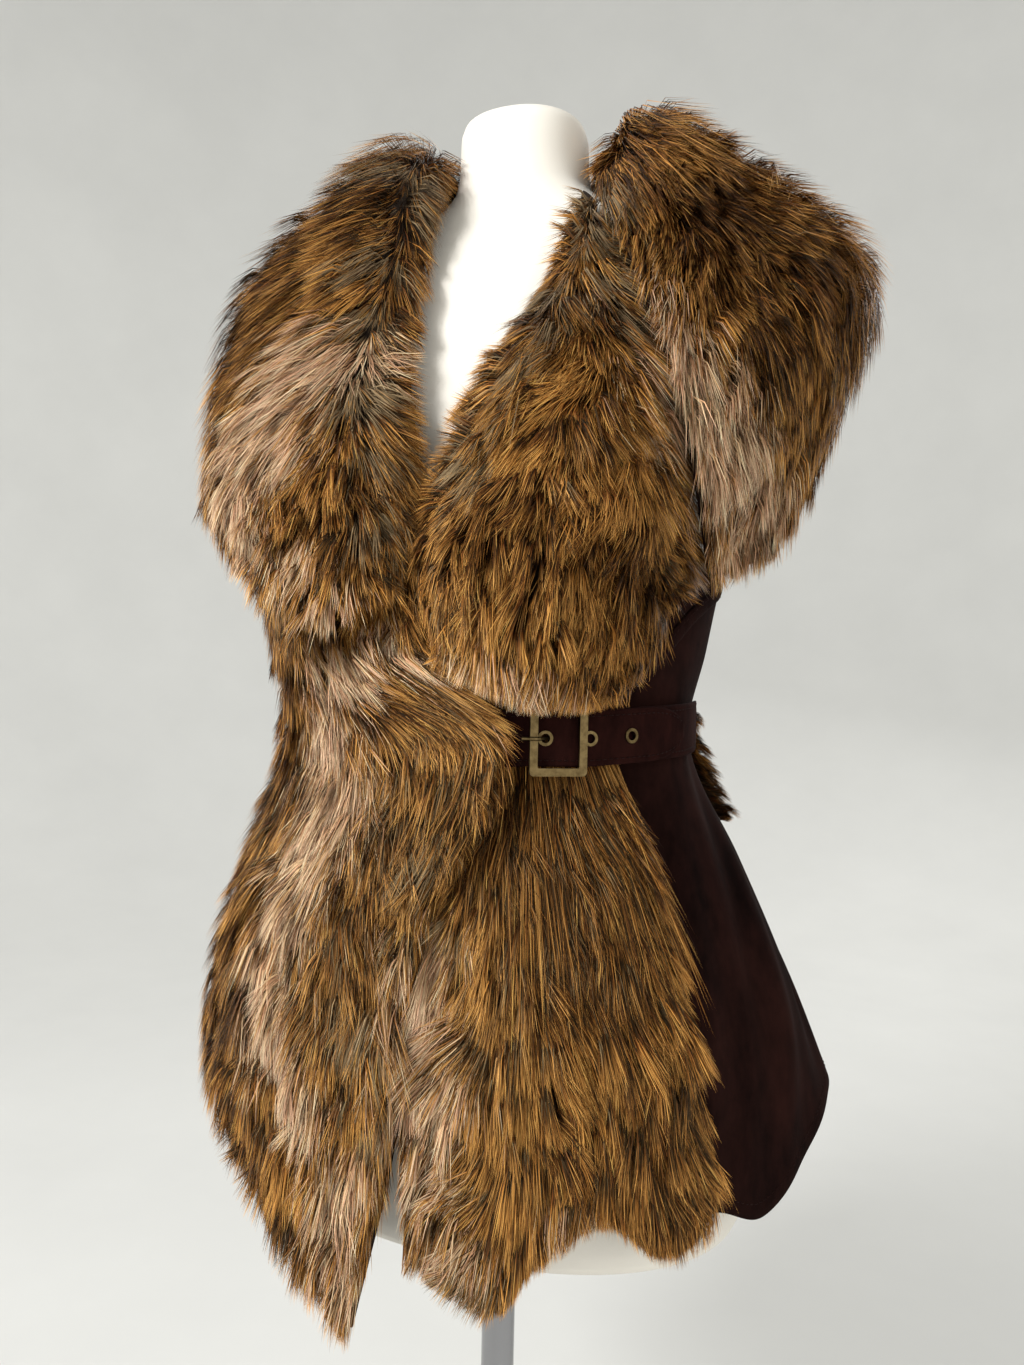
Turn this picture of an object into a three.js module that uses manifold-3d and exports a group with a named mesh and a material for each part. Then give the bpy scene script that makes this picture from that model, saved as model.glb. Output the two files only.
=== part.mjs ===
// A faux fur vest, belted, on a limbless dress form with a round base.
// Millimetres, +Z up. The form faces -Y and +X is the wearer's left.
// The origin is the centre of the base's underside.

import * as THREE from "three";
import Module from "manifold-3d";
import { mergeVertices } from "three/addons/utils/BufferGeometryUtils.js";

const wasm = await Module();
wasm.setup();

// Stand
const BASE_RADIUS = 140;
const BASE_HEIGHT = 12;
const BASE_EDGE = 3;
const BASE_SIDES = 48;
const POLE_RADIUS = 12.5;
const POLE_SIDES = 32;
const GAP = 0.3;

// Dress form: half width, half depth and the centre's shift to the back, by height
const FORM_BOTTOM = 300;
const FORM_TOP = 1108;
const FORM_SQUARENESS = 2.2;
const FORM_COLUMNS = ["z", "halfWidth", "halfDepth", "shift"];
const FORM_SECTIONS = table(FORM_COLUMNS, [
  [FORM_BOTTOM, 168, 118, 20],
  [303, 174, 124, 20],
  [309, 177, 127, 20],
  [365, 178, 128, 20],
  [430, 176, 126, 18],
  [500, 160, 116, 14],
  [580, 130, 98, 8],
  [652, 112, 86, 4],
  [720, 120, 94, 2],
  [800, 137, 106, 0],
  [850, 145, 112, -2],
  [900, 150, 106, 2],
  [950, 152, 94, 6],
  [985, 145, 82, 9],
  [1010, 126, 71, 11],
  [1030, 96, 60, 11],
  [1044, 68, 52, 9],
  [1058, 53, 48, 6],
  [1075, 49, 47, 5],
  [1100, 48, 46, 4],
  [1106, 46, 44, 4],
  [FORM_TOP, 41, 39, 4],
]);
const FORM_SIDES = 40;

// Cloth
const FUR = 14;
const COLLAR_FUR = 16;
const COLLAR_EDGE = 0.35;
const COLLAR_TURN = 0.35;
const SUEDE = 2.4;
const SEAM_GAP = 0.0011;
const COLLAR_SEAM_GAP = 0.003;
const WAIST_Z = 645;
const CHEST_SHARE = 0.55;

// Body panels hang in lines from top to hem. A row is one such line. It has the angle round the
// body, from the front towards the wearer's left, and the ease, the outer face's distance from
// the form, at the top, the chest, the waist, the hip, the skirt and the hem.
const LINE_COLUMNS = [
  "topZ", "hemZ",
  "topAngle", "chestAngle", "waistAngle", "hipAngle", "skirtAngle", "hemAngle",
  "topEase", "chestEase", "waistEase", "hipEase", "skirtEase", "hemEase",
];
const LEVELS = ["top", "chest", "waist", "hip", "skirt", "hem"];

const RIGHT_FRONT_LINES = table(LINE_COLUMNS, [
  [850, 452, -112, -112, -112, -112, -112, -112, 28, 38, 40, 50, 60, 60],
  [850, 425, -92, -91, -91, -91, -91, -92, 34, 54, 52, 60, 66, 62],
  [850, 384, -70, -69, -68, -66, -66, -69, 42, 64, 62, 68, 70, 62],
  [840, 345, -48, -46, -42, -44, -46, -50, 42, 60, 64, 66, 66, 58],
  [812, 300, -30, -26, -14, -24, -28, -33, 26, 50, 66, 62, 58, 54],
  [800, 268, -13, -5, 17, -4, -7, -18, 18, 52, 69, 56, 52, 52],
]);
const LEFT_FRONT_LINES = table(LINE_COLUMNS, [
  [690, 318, 4, 3, 2, -1, -6, -2, 32, 35, 36, 40, 42, 42],
  [690, 296, 14, 14, 14, 14, 16, 18, 34, 36, 37, 42, 44, 42],
  [690, 334, 24, 24, 24, 25, 27, 29, 34, 36, 37, 43, 46, 44],
  [690, 356, 34, 34, 34, 37, 40, 41, 34, 36, 36, 42, 44, 42],
  [690, 335, 42, 42, 43, 49, 51, 54, 32, 34, 34, 43, 46, 44],
  [690, 352, 48, 48, 49, 57, 60, 64, 30, 32, 33, 42, 44, 44],
]);
// The left front under its lapel, as lines from the shoulder to the waist
const BODICE_COLUMNS = [
  "topZ", "middleZ", "hemZ", "topAngle", "middleAngle", "hemAngle", "topEase", "middleEase", "hemEase",
];
const BODICE_LEVELS = ["top", "middle", "hem"];
const BODICE_LINES = table(BODICE_COLUMNS, [
  [985, 845, 655, 38, 4, -12, 4.4, 21, 10],
  [985, 850, 655, 52, 28, 4, 4.3, 9, 10],
  [970, 830, 655, 66, 50, 18, 4.3, 10, 10.4],
  [930, 800, 655, 78, 68, 32, 4.4, 11.2, 10.6],
]);
// The left side's lines, then the back's from the left side seam to the right one
const SIDE_ROWS = 6;
const SHELL_LINES = table(LINE_COLUMNS, [
  [800, 352, 44, 46, 48, 52, 54, 56, 15, 14, 15, 24, 26, 26],
  [790, 350, 60, 60, 60, 64, 66, 68, 15, 21, 26, 26, 27, 27],
  [795, 337, 76, 76, 75, 77, 78, 79, 16, 22, 28, 30, 32, 33],
  [800, 362, 90, 89, 88, 89, 89, 90, 22, 24, 23, 34, 40, 44],
  [800, 390, 101, 101, 101, 101, 101, 101, 25, 26, 19, 33, 43, 60],
  [800, 404, 111, 111, 111, 111, 111, 111, 24, 24, 18, 31, 42, 62],
  [900, 410, 128, 129, 130, 131, 132, 132, 16, 20, 22, 36, 50, 56],
  [985, 416, 150, 151, 152, 153, 154, 154, 12, 20, 26, 42, 50, 64],
  [1000, 422, 180, 180, 180, 180, 180, 180, 12, 18, 24, 36, 50, 54],
  [985, 430, 210, 209, 208, 207, 206, 206, 12, 20, 26, 42, 50, 62],
  [900, 440, 232, 231, 230, 229, 228, 228, 14, 22, 28, 40, 54, 56],
  [850, 451, 247.4, 247.4, 247.4, 247.4, 247.4, 247.4, 24, 34, 36, 46, 56, 56],
]);

// The collar's sections run from its neck edge over its crest to its outer hem. The rows go
// from the wearer's right front round the back to the left shoulder.
const SECTION_COLUMNS = ["neck", "crest", "high", "low", "hem"];
const COLLAR_RIGHT_ROWS = 8;
const COLLAR_BACK_ROWS = 4;
const COLLAR_SECTIONS = table(SECTION_COLUMNS, [
  [[-26, -141, 750], [-45, -160, 741], [-67, -166, 731], [-88, -164, 723], [-108, -154, 716]],
  [[-14, -134, 797], [-42, -160, 790], [-77, -168, 770], [-107, -163, 753], [-130, -150, 740]],
  [[-21, -131, 846], [-52, -156, 844], [-104, -160, 812], [-144, -150, 790], [-168, -124, 768]],
  [[-32, -120, 900], [-60, -144, 900], [-112, -148, 876], [-170, -136, 842], [-198, -106, 796]],
  [[-38, -92, 968], [-66, -112, 986], [-120, -114, 966], [-184, -110, 908], [-212, -96, 808]],
  [[-38, -60, 1036], [-70, -66, 1066], [-130, -68, 1038], [-192, -80, 966], [-214, -74, 824]],
  [[-58, -2, 1072], [-76, -6, 1100], [-122, 0, 1062], [-182, -6, 976], [-206, -8, 850]],
  [[-52, 33, 1072], [-64, 42, 1102], [-102, 62, 1062], [-154, 74, 986], [-178, 80, 880]],
  [[-36, 54, 1071], [-45, 68, 1104], [-74, 102, 1064], [-112, 130, 982], [-128, 140, 872]],
  [[0, 50, 1071], [0, 80, 1106], [0, 120, 1066], [0, 148, 976], [0, 158, 868]],
  [[40, 53, 1071], [50, 66, 1110], [86, 104, 1078], [134, 140, 990], [140, 148, 880]],
  [[56, 27, 1072], [72, 36, 1112], [146, 60, 1072], [226, 92, 998], [206, 99, 880]],
  [[64, -6, 1070], [86, 4, 1110], [158, 14, 1070], [252, 36, 984], [214, 38, 830]],
  [[68, -32, 1056], [92, -38, 1062], [146, -70, 996], [192, -62, 906], [192, -4, 778]],
  [[76, -62, 1018], [93, -85, 1001], [126, -113, 942], [155, -112, 862], [166, -60, 756]],
]);
const LAPEL_SECTIONS = table(SECTION_COLUMNS, [
  [[62, -54, 1032], [74, -68, 1020], [86, -77, 1003], [94, -77, 989], [100, -73, 977]],
  [[60, -81, 989], [79, -102, 972], [99, -106, 953], [114, -100, 936], [125, -85, 919]],
  [[50, -107, 939], [74, -131, 923], [105, -132, 900], [129, -112, 884], [140, -82, 868]],
  [[27, -127, 891], [55, -155, 876], [98, -158, 850], [132, -123, 829], [148, -68, 812]],
  [[7, -139, 841], [35, -164, 829], [86, -164, 806], [129, -124, 782], [150, -56, 761]],
  [[-12, -138, 797], [18, -166, 784], [67, -172, 764], [108, -144, 748], [140, -94, 738]],
  [[-15, -142, 752], [12, -170, 744], [56, -174, 724], [96, -150, 708], [124, -112, 698]],
  [[8, -150, 701], [26, -168, 690], [56, -170, 676], [84, -156, 671], [108, -130, 674]],
]);

// Folded edge of the left side, from under the collar down to the belt: shares of the side
// panel's width and length
const EDGE_COLUMNS = ["across", "along"];
const EDGE_LINE = table(EDGE_COLUMNS, [
  [0.72, 0.1],
  [0.42, 0.15],
  [0.26, 0.22],
  [0.15, 0.29],
]);
const EDGE_SHARE = 0.025;
const EDGE_CLOTH = 2;

// Fur that stands out of the left side seam: the back panel's grid, the rows that it spans, and
// its reach
const BACK_GRID = [18, 16];
const SEAM_FUR_GRID = [5, 9];
const SEAM_FUR = 9;

// Belt: the outer face of its tip by angle round the body, and the layer under it
const BELT_WIDTH = 35.6;
const BELT_CLOTH = 2;
const BELT_COLUMNS = ["angle", "radius", "z"];
const BELT_TIP_LINE = table(BELT_COLUMNS, [
  [5, 127.5, 650],
  [16, 133.6, 651],
  [25, 140.2, 652.5],
  [32, 141.5, 652.5],
  [39.3, 142.2, 652.5],
  [48, 145.2, 654],
  [60, 146.2, 655.5],
  [73, 146.9, 657],
]);
const BELT_END_LINE = table(BELT_COLUMNS, [
  [35, 139.4, 652.5],
  [39.3, 139.7, 652.5],
  [43, 140.6, 653],
  [48, 142.4, 654],
  [60, 143.5, 655.5],
  [73, 144.5, 657],
  [90, 141.2, 659],
]);
const TIP_TAPER = 0.16;
const TIP_BLUNTNESS = 0.25;
const BUCKLE = {
  angle: 32,
  z: 652.5,
  distance: 142.5,
  width: 37,
  height: 47,
  bar: 5,
  thickness: 2.6,
  corner: 3,
  innerCorner: 1,
};
const PRONG_WIDTH = 2.2;
const PRONG_COLUMNS = ["angle", "radius"];
const PRONG_LINE = table(PRONG_COLUMNS, [
  [33.8, 138.6],
  [31, 138],
  [30, 138],
  [28.6, 140.8],
  [27, 147.2],
  [25, 148.2],
  [22.6, 147.7],
]);
const EYELETS = [28.8, 40.6, 52];
const EYELET = { outer: 4.9, inner: 3, height: 0.7 };

const COLOURS = {
  fur: 0x8a5a2e,
  suede: 0x34201e,
  belt: 0x44282a,
  brass: 0x7c6c48,
  form: 0xf1ede4,
  steel: 0xb4b6ba,
};

const whole = new THREE.Group();

function table(columns, rows) {
  return rows.map((row) => Object.fromEntries(columns.map((name, i) => [name, row[i]])));
}

function material(colour, roughness, metalness = 0) {
  return new THREE.MeshStandardMaterial({ color: colour, roughness, metalness });
}

function addPiece(name, geometry, finish) {
  const mesh = new THREE.Mesh(geometry, finish);
  mesh.name = name;
  whole.add(mesh);
  return mesh;
}

// The form's section at a height, between the rows of its table
function formSection(z) {
  const rows = FORM_SECTIONS;
  if (z <= rows[3].z) return rows[3];
  let i = 0;
  while (i < rows.length - 2 && rows[i + 1].z < z) i += 1;
  const share = THREE.MathUtils.clamp((z - rows[i].z) / (rows[i + 1].z - rows[i].z), 0, 1);
  const mix = (name) => THREE.MathUtils.lerp(rows[i][name], rows[i + 1][name], share);
  return { z, halfWidth: mix("halfWidth"), halfDepth: mix("halfDepth"), shift: mix("shift") };
}

function direction(angle) {
  const turn = THREE.MathUtils.degToRad(angle);
  return new THREE.Vector2(Math.sin(turn), -Math.cos(turn));
}

// Distance from the axis to the form's skin, found by halving
function formRadius(angle, z) {
  const section = formSection(z);
  const way = direction(angle);
  let low = 0;
  let high = 400;
  for (let step = 0; step < 30; step += 1) {
    const radius = (low + high) / 2;
    const x = Math.abs(way.x * radius) / section.halfWidth;
    const y = Math.abs(way.y * radius - section.shift) / section.halfDepth;
    const inside = x ** FORM_SQUARENESS + y ** FORM_SQUARENESS < 1;
    if (inside) low = radius;
    else high = radius;
  }
  return low;
}

function bodyPoint(angle, z, ease) {
  const way = direction(angle).multiplyScalar(formRadius(angle, z) + ease);
  return new THREE.Vector3(way.x, way.y, z);
}

function smoothCurve(points) {
  return new THREE.CatmullRomCurve3(points, false, "centripetal");
}

// One hanging line of a body panel as a curve from top to hem
function hangingLine(row) {
  const skirt = (share) => THREE.MathUtils.lerp(WAIST_Z, row.hemZ, share);
  const chest = THREE.MathUtils.lerp(row.topZ, WAIST_Z, CHEST_SHARE);
  const heights = {
    top: row.topZ, chest, waist: WAIST_Z, hip: skirt(1 / 3), skirt: skirt(2 / 3), hem: row.hemZ,
  };
  const point = (level) => bodyPoint(row[level + "Angle"], heights[level], row[level + "Ease"]);
  return smoothCurve(LEVELS.map(point));
}

// The bodice keeps its ease from the form all over
function bodiceSheet() {
  const line = (row) => BODICE_LEVELS.map((level) => (
    new THREE.Vector3(row[level + "Angle"], row[level + "Z"], row[level + "Ease"])
  ));
  const course = sheetThrough(BODICE_LINES.map((row) => smoothCurve(line(row))));
  return (s, t) => {
    const at = course(s, t);
    return bodyPoint(at.x, at.y, at.z);
  };
}

function sectionLine(row) {
  return smoothCurve(SECTION_COLUMNS.map((name) => new THREE.Vector3(...row[name])));
}

// A smooth sheet through the lines: point(s, t), with s across the lines and t along them
function sheetThrough(lines) {
  return (s, t) => smoothCurve(lines.map((line) => line.getPoint(t))).getPoint(s);
}

function sheetNormal(sheet, s, t, facing) {
  const step = 0.01;
  const across = sheet(Math.min(s + step, 1), t).sub(sheet(Math.max(s - step, 0), t));
  const along = sheet(s, Math.min(t + step, 1)).sub(sheet(s, Math.max(t - step, 0)));
  return across.cross(along).normalize().multiplyScalar(facing);
}

// A thick wall under a sheet. Its outer points lie on the sheet, its rim is rounded by softness,
// and thin gives the share of the wall along t.
function wallGeometry(sheet, settings) {
  const { across, along, wall, facing, softness = 0, lift = 0, thin = () => 1 } = settings;
  const { from = [0, 0], to = [1, 1] } = settings;
  const outer = [];
  const inner = [];
  for (let j = 0; j <= along; j += 1) {
    for (let i = 0; i <= across; i += 1) {
      const s = THREE.MathUtils.lerp(from[0], to[0], i / across);
      const t = THREE.MathUtils.lerp(from[1], to[1], j / along);
      const normal = sheetNormal(sheet, s, t, facing);
      const rim = Math.min(1, i, j, across - i, along - j);
      const sink = lift - (rim === 0 ? softness * wall : 0);
      const point = sheet(s, t);
      outer.push(point.clone().addScaledVector(normal, sink));
      inner.push(point.clone().addScaledVector(normal, lift - wall * thin(t)));
    }
  }
  return closedWall(outer, inner, across, along, facing);
}

function closedWall(outer, inner, across, along, facing) {
  const count = outer.length;
  const faces = [];
  const face = (a, b, c) => faces.push(...(facing > 0 ? [a, b, c] : [a, c, b]));
  const quad = (a, b, c, d) => {
    face(a, b, c);
    face(a, c, d);
  };
  const at = (i, j) => j * (across + 1) + i;
  for (let j = 0; j < along; j += 1) {
    for (let i = 0; i < across; i += 1) {
      quad(at(i, j), at(i + 1, j), at(i + 1, j + 1), at(i, j + 1));
      quad(count + at(i, j), count + at(i, j + 1), count + at(i + 1, j + 1), count + at(i + 1, j));
    }
  }
  for (let i = 0; i < across; i += 1) {
    quad(at(i + 1, 0), at(i, 0), count + at(i, 0), count + at(i + 1, 0));
    quad(at(i, along), at(i + 1, along), count + at(i + 1, along), count + at(i, along));
  }
  for (let j = 0; j < along; j += 1) {
    quad(at(0, j), at(0, j + 1), count + at(0, j + 1), count + at(0, j));
    quad(at(across, j + 1), at(across, j), count + at(across, j), count + at(across, j + 1));
  }
  return geometryOf([...outer, ...inner], faces);
}

function geometryOf(points, faces) {
  const geometry = new THREE.BufferGeometry();
  const values = points.flatMap((point) => [point.x, point.y, point.z]);
  geometry.setAttribute("position", new THREE.Float32BufferAttribute(values, 3));
  geometry.setIndex(faces);
  return geometry;
}

function solidOf(geometry) {
  const bare = new THREE.BufferGeometry();
  bare.setAttribute("position", geometry.getAttribute("position"));
  if (geometry.index) bare.setIndex(geometry.index);
  const merged = mergeVertices(bare, 1e-4);
  return new wasm.Manifold(new wasm.Mesh({
    numProp: 3,
    vertProperties: new Float32Array(merged.getAttribute("position").array),
    triVerts: new Uint32Array(merged.index.array),
  }));
}

function geometryFrom(solid) {
  const mesh = solid.getMesh();
  const geometry = new THREE.BufferGeometry();
  geometry.setAttribute("position", new THREE.BufferAttribute(new Float32Array(mesh.vertProperties), 3));
  geometry.setIndex(Array.from(mesh.triVerts));
  return geometry;
}

// Dress form
function formGeometry() {
  const points = [];
  const faces = [];
  for (const section of FORM_SECTIONS) {
    for (let i = 0; i < FORM_SIDES; i += 1) {
      const turn = (2 * Math.PI * i) / FORM_SIDES;
      const power = (value) => Math.sign(value) * Math.abs(value) ** (2 / FORM_SQUARENESS);
      const x = section.halfWidth * power(Math.cos(turn));
      const y = section.halfDepth * power(Math.sin(turn)) + section.shift;
      points.push(new THREE.Vector3(x, y, section.z));
    }
  }
  const rings = FORM_SECTIONS.length;
  const at = (ring, i) => ring * FORM_SIDES + (i % FORM_SIDES);
  for (let ring = 0; ring < rings - 1; ring += 1) {
    for (let i = 0; i < FORM_SIDES; i += 1) {
      faces.push(at(ring, i), at(ring, i + 1), at(ring + 1, i + 1));
      faces.push(at(ring, i), at(ring + 1, i + 1), at(ring + 1, i));
    }
  }
  const bottom = points.push(new THREE.Vector3(0, FORM_SECTIONS[0].shift, FORM_BOTTOM)) - 1;
  const top = points.push(new THREE.Vector3(0, FORM_SECTIONS[rings - 1].shift, FORM_TOP)) - 1;
  for (let i = 0; i < FORM_SIDES; i += 1) {
    faces.push(bottom, at(0, i + 1), at(0, i));
    faces.push(top, at(rings - 1, i), at(rings - 1, i + 1));
  }
  return geometryOf(points, faces);
}

function turned(profile, sides) {
  const geometry = new THREE.LatheGeometry(profile.map(([x, y]) => new THREE.Vector2(x, y)), sides);
  geometry.rotateX(Math.PI / 2);
  return geometryFrom(solidOf(geometry));
}

function addStand() {
  const white = material(COLOURS.form, 0.8);
  const steel = material(COLOURS.steel, 0.15, 1);
  addPiece("form_torso", formGeometry(), white);
  const poleFoot = BASE_HEIGHT + GAP;
  const poleTop = FORM_BOTTOM - GAP;
  const pole = [[0, poleFoot], [POLE_RADIUS, poleFoot], [POLE_RADIUS, poleTop], [0, poleTop]];
  addPiece("form_pole", turned(pole, POLE_SIDES), steel);
  const rim = BASE_RADIUS - BASE_EDGE;
  const shoulder = BASE_HEIGHT - BASE_EDGE;
  const base = [
    [0, 0], [rim, 0], [BASE_RADIUS, BASE_EDGE], [BASE_RADIUS, shoulder], [rim, BASE_HEIGHT], [0, BASE_HEIGHT],
  ];
  addPiece("form_base", turned(base, BASE_SIDES), steel);
}

// Cloth panels that hang on the body
const rightFrontSheet = sheetThrough(RIGHT_FRONT_LINES.map(hangingLine));
const leftFrontSheet = sheetThrough(LEFT_FRONT_LINES.map(hangingLine));
const shellSheet = sheetThrough(SHELL_LINES.map(hangingLine));
const SIDE_SEAM = (SIDE_ROWS - 1) / (SHELL_LINES.length - 1);

function addBody() {
  const fur = material(COLOURS.fur, 0.9);
  const suede = material(COLOURS.suede, 0.95);
  const furPanel = { wall: FUR, facing: -1, softness: 0.4 };
  const suedePanel = { wall: SUEDE, facing: -1 };
  addPiece("front_right_fur", wallGeometry(rightFrontSheet, { across: 16, along: 20, ...furPanel }), fur);
  addPiece("front_left_fur", wallGeometry(leftFrontSheet, { across: 14, along: 14, ...furPanel }), fur);
  addPiece("front_left_suede", wallGeometry(bodiceSheet(), { across: 8, along: 12, ...suedePanel }), suede);
  const side = { across: 14, along: 16, to: [SIDE_SEAM, 1], ...suedePanel };
  const backStart = SIDE_SEAM + SEAM_GAP;
  const back = { across: BACK_GRID[0], along: BACK_GRID[1], from: [backStart, 0], ...suedePanel };
  addPiece("side_left_suede", wallGeometry(shellSheet, side), suede);
  addPiece("back_suede", wallGeometry(shellSheet, back), suede);
  const strip = { across: 2, along: 16, wall: EDGE_CLOTH, lift: EDGE_CLOTH + 2 * GAP, facing: -1 };
  addPiece("edge_left_suede", wallGeometry(edgeSheet(), strip), suede);
  const rows = SEAM_FUR_GRID.map((row) => row / BACK_GRID[1]);
  const tufts = {
    across: 1,
    along: SEAM_FUR_GRID[1] - SEAM_FUR_GRID[0],
    from: [backStart, rows[0]],
    to: [backStart + (1 - backStart) / BACK_GRID[0], rows[1]],
    wall: SEAM_FUR,
    lift: SEAM_FUR + GAP,
    facing: -1,
  };
  addPiece("seam_left_fur", wallGeometry(shellSheet, tufts), fur);
}

// The folded edge lies on the left side, a narrow strip beside its line
function edgeSheet() {
  const line = smoothCurve(EDGE_LINE.map((row) => new THREE.Vector3(row.across, row.along, 0)));
  return (s, t) => {
    const share = line.getPoint(t);
    const aside = (s - 0.5) * EDGE_SHARE;
    return shellSheet((share.x + aside) * SIDE_SEAM, share.y + aside);
  };
}

// Collar and lapel
function addCollar() {
  const fur = material(COLOURS.fur, 0.9);
  const collar = sheetThrough(COLLAR_SECTIONS.map(sectionLine));
  const lapel = sheetThrough(LAPEL_SECTIONS.map(sectionLine));
  const spans = COLLAR_SECTIONS.length - 1;
  const rightSeam = (COLLAR_RIGHT_ROWS - 1) / spans;
  const leftSeam = rightSeam + COLLAR_BACK_ROWS / spans;
  const shape = { along: 12, wall: COLLAR_FUR, softness: 0.25, facing: 1, thin: collarThinning };
  const parts = [
    ["collar_right", collar, 14, 0, rightSeam - COLLAR_SEAM_GAP],
    ["collar_back", collar, 10, rightSeam, leftSeam],
    ["collar_left", collar, 9, leftSeam + COLLAR_SEAM_GAP / 2, 1],
    ["lapel_left", lapel, 12, 0, 1],
  ];
  for (const [name, sheet, across, start, end] of parts) {
    addPiece(name, wallGeometry(sheet, { ...shape, across, from: [start, 0], to: [end, 1] }), fur);
  }
}

// The fur is thinner where the collar turns at the neck edge, and towards its hem
function collarThinning(t) {
  const rise = THREE.MathUtils.smoothstep(t, 0, COLLAR_TURN);
  const fall = THREE.MathUtils.smoothstep(t, 1 - COLLAR_TURN, 1);
  return COLLAR_EDGE + (1 - COLLAR_EDGE) * rise * (1 - fall / 2);
}

// A strap round the body: its outer face through the rows of a table
function strapLine(rows) {
  return smoothCurve(rows.map((row) => new THREE.Vector3(row.angle, row.radius, row.z)));
}

function strapSheet(rows, taper = () => 1) {
  const line = strapLine(rows);
  return (s, t) => {
    const at = line.getPoint(t);
    const way = direction(at.x).multiplyScalar(at.y);
    return new THREE.Vector3(way.x, way.y, at.z + (s - 0.5) * BELT_WIDTH * taper(t));
  };
}

function tipTaper(t) {
  const share = Math.max(0, (t - 1 + TIP_TAPER) / TIP_TAPER);
  return Math.max(TIP_BLUNTNESS, Math.sqrt(1 - share * share));
}

// The frame that stands on the body at an angle: local x runs round it, y is up, z points out
function standing(angle, distance, z) {
  const out = direction(angle);
  const side = new THREE.Vector3(-out.y, out.x, 0);
  const up = new THREE.Vector3(0, 0, 1);
  const frame = new THREE.Matrix4().makeBasis(side, up, new THREE.Vector3(out.x, out.y, 0));
  return frame.setPosition(out.x * distance, out.y * distance, z);
}

// The same on a strap's middle, with z along its own normal
function standingOn(sheet, t) {
  const middle = 0.5;
  const normal = sheetNormal(sheet, middle, t, -1);
  const up = new THREE.Vector3(0, 0, 1).addScaledVector(normal, -normal.z).normalize();
  const side = new THREE.Vector3().crossVectors(up, normal);
  return new THREE.Matrix4().makeBasis(side, up, normal).setPosition(sheet(middle, t));
}

function roundedBox(width, height, corner) {
  const shape = new THREE.Shape();
  const x = width / 2;
  const y = height / 2;
  shape.absarc(x - corner, y - corner, corner, 0, Math.PI / 2);
  shape.absarc(corner - x, y - corner, corner, Math.PI / 2, Math.PI);
  shape.absarc(corner - x, corner - y, corner, Math.PI, 1.5 * Math.PI);
  shape.absarc(x - corner, corner - y, corner, 1.5 * Math.PI, 2 * Math.PI);
  return shape;
}

function buckleGeometry() {
  const frame = roundedBox(BUCKLE.width, BUCKLE.height, BUCKLE.corner);
  const inner = [BUCKLE.width - 2 * BUCKLE.bar, BUCKLE.height - 2 * BUCKLE.bar];
  frame.holes.push(roundedBox(...inner, BUCKLE.innerCorner));
  const settings = { depth: BUCKLE.thickness, bevelEnabled: false, curveSegments: 4 };
  const place = standing(BUCKLE.angle, BUCKLE.distance, BUCKLE.z);
  return new THREE.ExtrudeGeometry(frame, settings).applyMatrix4(place);
}

function ringGeometry(outer, inner, height) {
  const ring = new THREE.Shape();
  ring.absarc(0, 0, outer, 0, 2 * Math.PI);
  const hole = new THREE.Path();
  hole.absarc(0, 0, inner, 0, 2 * Math.PI);
  if (inner > 0) ring.holes.push(hole);
  return new THREE.ExtrudeGeometry(ring, { depth: height, bevelEnabled: false, curveSegments: 10 });
}

function prongGeometry() {
  const points = PRONG_LINE.map((row) => {
    const way = direction(row.angle).multiplyScalar(row.radius);
    return new THREE.Vector3(way.x, way.y, BUCKLE.z);
  });
  const section = new THREE.Shape();
  section.absarc(0, 0, PRONG_WIDTH / 2, 0, 2 * Math.PI);
  const settings = { steps: 14, bevelEnabled: false, curveSegments: 3, extrudePath: smoothCurve(points) };
  return new THREE.ExtrudeGeometry(section, settings);
}

function addBelt() {
  const cloth = material(COLOURS.belt, 0.9);
  const brass = material(COLOURS.brass, 0.45, 1);
  const strap = { across: 4, wall: BELT_CLOTH, facing: -1 };
  const tipSheet = strapSheet(BELT_TIP_LINE, tipTaper);
  let tip = solidOf(wallGeometry(tipSheet, { ...strap, along: 30 }));
  const line = strapLine(BELT_TIP_LINE);
  EYELETS.forEach((angle, i) => {
    const place = standingOn(tipSheet, shareAt(line, angle));
    const drill = ringGeometry(EYELET.inner, 0, 4 * BELT_CLOTH).translate(0, 0, -2 * BELT_CLOTH);
    tip = tip.subtract(solidOf(drill.applyMatrix4(place)));
    const ring = ringGeometry(EYELET.outer, EYELET.inner, EYELET.height).translate(0, 0, GAP);
    addPiece(`belt_eyelet_${i + 1}`, ring.applyMatrix4(place), brass);
  });
  addPiece("belt_tip", geometryFrom(tip), cloth);
  addPiece("belt_buckle_end", wallGeometry(strapSheet(BELT_END_LINE), { ...strap, along: 16 }), cloth);
  addPiece("buckle_frame", buckleGeometry(), brass);
  addPiece("buckle_prong", prongGeometry(), brass);
}

// Where a strap's line passes an angle
function shareAt(line, angle) {
  let low = 0;
  let high = 1;
  for (let step = 0; step < 30; step += 1) {
    const share = (low + high) / 2;
    if (line.getPoint(share).x < angle) low = share;
    else high = share;
  }
  return low;
}

addStand();
addBody();
addCollar();
addBelt();

export default whole;
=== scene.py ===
# A faux fur vest, belted, on a limbless dress form. Metres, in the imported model's frame:
# +Z up, the form faces -Y and +X is the wearer's left. Tables are in millimetres.

import math

import bpy
import numpy as np
from mathutils import Matrix, Vector


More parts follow.
